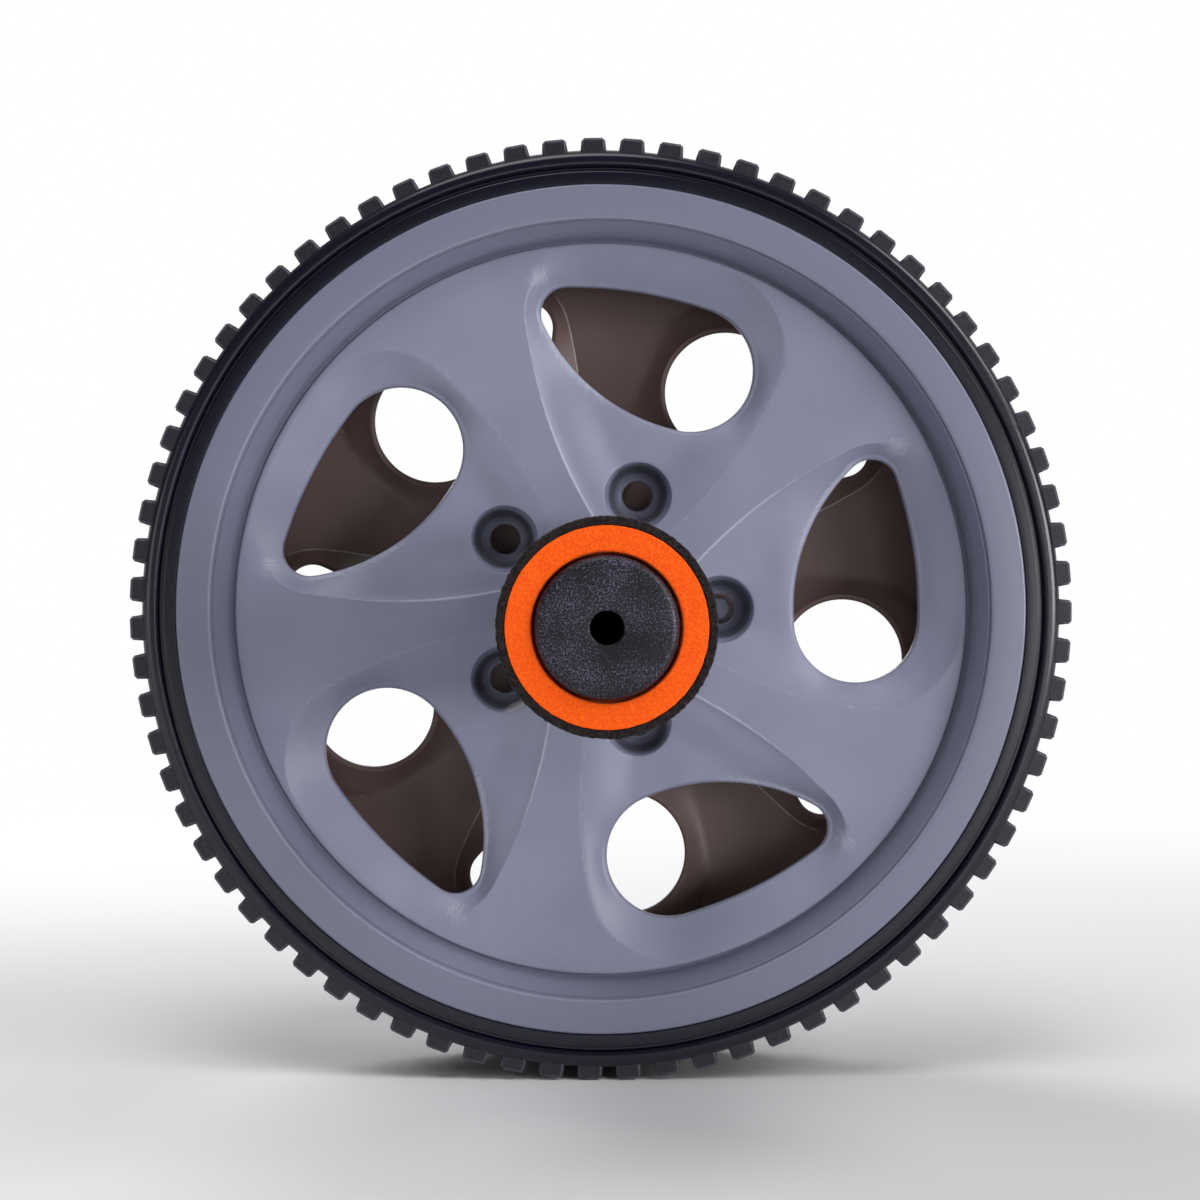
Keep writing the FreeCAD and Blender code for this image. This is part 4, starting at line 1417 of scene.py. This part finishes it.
@dataclass
class HandleGrip:
    """A handle: its moulded core with collar and end hole, the orange foam and the black skin over it."""

    side: Side
    core_start: float = 20.1
    grip_start: float = 23.1
    grip_end: float = 133.5
    core_end: float = 135.0
    axle_end: float = 100.0
    axle_radius: float = 6.0
    bore_middle: float = 60.0
    bore_round: float = 0.3
    collar_radius: float = 16.0
    collar_rounds: tuple[float, float] = (0.8, 0.6)
    core_radius: float = 11.5
    core_round: float = 1.3
    seat_round: float = 0.1
    hole_radius: float = 2.7
    hole_round: float = 0.35
    foam: FoamLayer = FoamLayer("orange_foam_sleeve", 11.6, 16.2, (0.4, 0.15, 0.4), pores=0.05, grain=1.0)
    skin: FoamLayer = FoamLayer("porous_grip_skin", 16.3, 17.6, (0.1, 0.3, 0.05), pores=0.22, grain=0.7)
    mouth_draft: float = 0.05
    mouth_depth: float = 2.5
    mouth_run: float = 1.0
    end_run: float = 1.0
    fine_lumps: tuple[float, float] = (0.6, 2.3)
    steps: int = 256
    round_steps: int = 6
    fine_steps: int = 400
    fine_round_steps: int = 4
    fine_length: float = 5.0
    fine_run: float = 0.28
    coarse_run: float = 1.4

    def place(self, points: np.ndarray) -> np.ndarray:
        """Moves points from reaches along the axle to the handle's side."""
        return to_side(points, self.side)

    def build_core(self) -> Object:
        """Builds the core.

        Returns:
            The piece.
        """
        core, collar, hole, bore = self.core_radius, self.collar_radius, self.hole_radius, self.axle_radius
        start, grip, end, seat = self.core_start, self.grip_start, self.core_end, self.seat_round
        profile = rounded_profile([(bore, self.bore_middle, 0), (bore, start, self.bore_round),
                                   (collar, start, self.collar_rounds[0]), (collar, grip, self.collar_rounds[1]),
                                   (core, grip, seat), (core, end, self.core_round), (hole, end, self.hole_round),
                                   (hole, self.axle_end, seat), (bore, self.axle_end, seat),
                                   (bore, self.bore_middle, 0)], self.round_steps)
        mesh = MeshBuilder()
        mesh.grid(lathe(profile, np.arange(self.steps) * 360 / self.steps))
        return mesh.make(f"moulded_handle_core_{self.side.word}", self.place)

    def build_layer(self, layer: FoamLayer) -> Object:
        """Builds a layer of the grip, with a porous surface.

        Args:
            layer: The layer.

        Returns:
            The piece.
        """
        low, high, near = self.grip_start, self.grip_end, self.grip_end - self.fine_length
        inner, outer = layer.inner, layer.outer
        inner_round, outer_round, widening = layer.edges
        mouth, deep = inner + widening, high - self.mouth_depth
        corners = rounded_profile([(inner, near, 0), (inner, low, inner_round), (outer, low, outer_round),
                                   (outer, near, 0), (outer, high, outer_round), (mouth, high, inner_round),
                                   (mouth - self.mouth_draft, deep, self.seat_round),
                                   (inner, deep - self.mouth_run, 0), (inner, near, 0)], self.fine_round_steps)
        rows = lathe(self.divided(corners, near), np.arange(self.fine_steps) * 360 / self.fine_steps)
        flat = rows.reshape(-1, 3)
        share, finer = self.fine_lumps
        lumps = np.array([noise.noise(Vector(point) / layer.grain)
                          + share * noise.noise(Vector(point) * finer / layer.grain) for point in flat]) * layer.pores
        radius = length(flat[:, [0, 2]])
        flat[:, [0, 2]] *= (1 + lumps * ease(radius, inner, outer) / radius)[:, None]
        ends = ease(flat[:, 1], high - self.end_run, high) + ease(flat[:, 1], low, low + self.end_run) - 1
        flat[:, 1] += np.minimum(lumps, 0) * ends
        mesh = MeshBuilder()
        mesh.grid(rows)
        return mesh.make(f"{layer.name}_{self.side.word}", self.place)

    def divided(self, profile: np.ndarray, near: float) -> np.ndarray:
        """Splits the long runs of a profile, more finely close to the grip's outer end.

        Args:
            profile: Points as radius and reach.
            near: Reach at which the fine part starts.

        Returns:
            The profile with more points.
        """
        line = [profile[0]]
        for here, there in zip(profile[:-1], profile[1:]):
            step = self.fine_run if min(here[1], there[1]) >= near else self.coarse_run
            parts = max(1, math.ceil(np.linalg.norm(there - here) / step))
            line += [here + (there - here) * part / parts for part in range(1, parts + 1)]
        return np.array(line)

    def build(self, finishes: dict[str, Material]) -> list[Object]:
        """Builds and dresses the handle's pieces.

        Args:
            finishes: Materials by slot.

        Returns:
            The core, the foam and the skin.
        """
        core, foam, skin = self.build_core(), self.build_layer(self.foam), self.build_layer(self.skin)
        for piece, slot, node in ((core, "handle", "handle_core"), (foam, "orange_foam", "foam_sleeve"),
                                  (skin, "grip_skin", "grip_skin")):
            piece.data.materials.append(finishes[slot])
            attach(piece, "handle_bar")
            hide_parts(f"{node}_{self.side.word}")
        return [core, foam, skin]


@dataclass
class AxleHardware:
    """The steel bar, bushes, washers and clips, kept as the frame has them and given their finishes."""

    slots: tuple[str, ...] = ("steel", "spring_steel", "bush")

    def dress(self, finishes: dict[str, Material]) -> list[str]:
        """Gives each small part its finish.

        Args:
            finishes: Materials by slot.

        Returns:
            The names of the nodes.
        """
        dressed = []
        for part in frame["record"]["subparts"]:
            if part["material_slot"] in self.slots:
                piece = frame["nodes"][part["node"]]
                piece.data.materials.clear()
                piece.data.materials.append(finishes[part["material_slot"]])
                dressed.append(part["node"])
        return dressed


@dataclass(frozen=True)
class SoftBox:
    """A soft lamp: where it stands, its width, its power in watts and what it points at, in metres."""

    name: str
    spot: tuple[float, float, float]
    width: float
    power: float
    target: tuple[float, float, float] = (0.0, 0.0, 0.0)

    def build(self) -> None:
        """Makes the lamp."""
        lamp = bpy.data.lights.new(self.name, "AREA")
        lamp.shape = "DISK"
        lamp.size = self.width
        lamp.energy = self.power
        stand = bpy.data.objects.new(self.name, lamp)
        stand.location = self.spot
        stand.rotation_euler = (Vector(self.target) - stand.location).to_track_quat("-Z", "Y").to_euler()
        bpy.context.scene.collection.objects.link(stand)


@dataclass
class Studio:
    """The pale floor, the lamps and the camera. The floor and the lamps are in metres, the rest in millimetres."""

    floor_height: float = -0.0926
    floor_front: float = -2.0
    floor_reach: float = 12.0
    floor_fade: tuple[float, float] = (0.12, 0.6)
    floor_tone: str = "#F4F4F5"
    floor_roughness: float = 0.9
    air_level: float = 0.1
    air_turn: tuple[float, float] = (-0.25, 0.3)
    camera_spot: tuple[float, float, float] = (-4.6, -604.0, 14.1)
    camera_target: tuple[float, float, float] = (-0.11, 0.0, 1.62)
    lens: float = 89.45
    sensor: float = 36.0
    nearest: float = 10.0
    lamps: tuple[SoftBox, ...] = (
        SoftBox("key_softbox", (1.05, -1.06, -0.05), 0.85, 18.8),
        SoftBox("high_softbox", (1.15, -0.7, 0.95), 0.8, 9.0),
        SoftBox("low_softbox", (0.38, -1.42, -0.08), 0.3, 1.1),
        SoftBox("fill_softbox", (-1.0, -1.1, -0.1), 0.8, 3.0),
        SoftBox("top_softbox", (-0.15, -0.6, 1.1), 0.7, 5.0),
        SoftBox("back_softbox", (-0.35, 0.75, 0.45), 0.5, 5.0))

    def build_floor(self) -> None:
        """Makes the floor, which keeps the shadow and fades to white towards the horizon."""
        mesh = bpy.data.meshes.new("pale_floor")
        high, near, far = self.floor_height, self.floor_front, self.floor_reach
        mesh.from_pydata([(-far, near, high), (far, near, high), (far, far, high), (-far, far, high)], [],
                         [(0, 1, 2, 3)])
        floor = bpy.data.objects.new("pale_floor", mesh)
        bpy.context.scene.collection.objects.link(floor)
        material = bpy.data.materials.new("matt_white_painted_board")
        material.use_nodes = True
        tree = material.node_tree
        shader = tree.nodes["Principled BSDF"]
        shader.inputs["Base Color"].default_value = linear(self.floor_tone)
        shader.inputs["Roughness"].default_value = self.floor_roughness
        place = add_node(tree, "ShaderNodeTexCoord").outputs["Object"]
        reach = add_node(tree, "ShaderNodeVectorMath", {"operation": "LENGTH"}, {0: place})
        share = add_node(tree, "ShaderNodeMapRange", SMOOTH,
                         {"Value": reach.outputs["Value"], "From Min": self.floor_fade[0],
                          "From Max": self.floor_fade[1]})
        seen = add_node(tree, "ShaderNodeLightPath")
        clear = add_node(tree, "ShaderNodeMath", {"operation": "MAXIMUM"},
                         {0: seen.outputs["Is Camera Ray"], 1: seen.outputs["Is Transmission Ray"]})
        shown = add_node(tree, "ShaderNodeMath", {"operation": "MAXIMUM"},
                         {0: clear.outputs["Value"], 1: seen.outputs["Is Glossy Ray"]})
        open_air = add_node(tree, "ShaderNodeMath", {"operation": "MULTIPLY"},
                            {0: share.outputs["Result"], 1: shown.outputs["Value"]})
        white = add_node(tree, "ShaderNodeEmission", None, {"Color": (1, 1, 1, 1), "Strength": 1.0})
        mix = add_node(tree, "ShaderNodeMixShader", None,
                       {0: open_air.outputs["Value"], 1: shader.outputs["BSDF"], 2: white.outputs["Emission"]})
        tree.links.new(mix.outputs["Shader"], tree.nodes["Material Output"].inputs["Surface"])
        mesh.materials.append(material)

    def build_air(self) -> None:
        """Lights the air evenly and shows it white to the camera, through clear pieces and, behind, in gloss."""
        world = bpy.data.worlds.new("studio_air")
        world.use_nodes = True
        bpy.context.scene.world = world
        tree = world.node_tree
        seen = add_node(tree, "ShaderNodeLightPath")
        direct = add_node(tree, "ShaderNodeMath", {"operation": "MAXIMUM"},
                          {0: seen.outputs["Is Camera Ray"], 1: seen.outputs["Is Transmission Ray"]})
        course = add_node(tree, "ShaderNodeSeparateXYZ", None,
                          {0: add_node(tree, "ShaderNodeTexCoord").outputs["Generated"]})
        behind = add_node(tree, "ShaderNodeMapRange", SMOOTH,
                          {"Value": course.outputs["Y"], "From Min": self.air_turn[0], "From Max": self.air_turn[1]})
        mirrored = add_node(tree, "ShaderNodeMath", {"operation": "MULTIPLY"},
                            {0: behind.outputs["Result"], 1: seen.outputs["Is Glossy Ray"]})
        white = add_node(tree, "ShaderNodeMath", {"operation": "MAXIMUM"},
                         {0: direct.outputs["Value"], 1: mirrored.outputs["Value"]})
        level = add_node(tree, "ShaderNodeMapRange", None,
                         {"Value": white.outputs["Value"], "To Min": self.air_level, "To Max": 1.0})
        glow = tree.nodes["Background"]
        glow.inputs["Color"].default_value = (1, 1, 1, 1)
        tree.links.new(level.outputs["Result"], glow.inputs["Strength"])

    def build_camera(self) -> None:
        """Makes the camera at the photograph's viewpoint."""
        lens = bpy.data.cameras.new("camera")
        lens.sensor_width = self.sensor
        lens.lens = self.lens
        lens.clip_start = self.nearest * MM
        camera = bpy.data.objects.new("camera", lens)
        camera.location = Vector(self.camera_spot) * MM
        aim = Vector(self.camera_target) * MM - camera.location
        camera.rotation_euler = aim.to_track_quat("-Z", "Y").to_euler()
        bpy.context.scene.collection.objects.link(camera)
        bpy.context.scene.camera = camera

    def build(self) -> None:
        """Sets the whole studio up."""
        bpy.context.scene.view_settings.view_transform = "Standard"
        self.build_camera()
        self.build_air()
        self.build_floor()
        for lamp in self.lamps:
            lamp.build()


def main() -> None:
    """Builds the studio and the roller, piece by piece."""
    logging.basicConfig(level=logging.INFO, format="%(message)s")
    Studio().build()
    finishes = {slot: finish.build() for slot, finish in (
        ("shell", SHELL_PLASTIC), ("shell_back_painted_shade", SHELL_BACK_PAINTED_SHADE), ("tyre", TYRE_RUBBER), ("lug", LUG_RUBBER),
        ("lug_edge", EDGE_RUBBER_AND_HIGHLIGHT), ("handle", HANDLE_PLASTIC), ("orange_foam", ORANGE_FOAM), ("grip_skin", BLACK_SKIN),
        ("steel", STEEL), ("spring_steel", SPRING_STEEL), ("bush", NYLON))}
    for shell in (WheelShell("wheel_shell_front", turned=False), WheelShell("wheel_shell_rear", turned=True)):
        piece = shell.build()
        shell.dress(piece, finishes["shell"], finishes["shell_back_painted_shade"])
        log.info("%s: %d faces", piece.name, len(piece.data.polygons))
    tyre = Tyre()
    piece = tyre.build()
    tyre.dress(piece, [finishes["tyre"], finishes["lug"], finishes["lug_edge"]])
    log.info("%s: %d faces", piece.name, len(piece.data.polygons))
    for side in Side:
        for piece in HandleGrip(side).build(finishes):
            log.info("%s: %d faces", piece.name, len(piece.data.polygons))
    for name in AxleHardware().dress(finishes):
        log.info("%s: finished as it is", name)


if __name__ == "__main__":
    main()
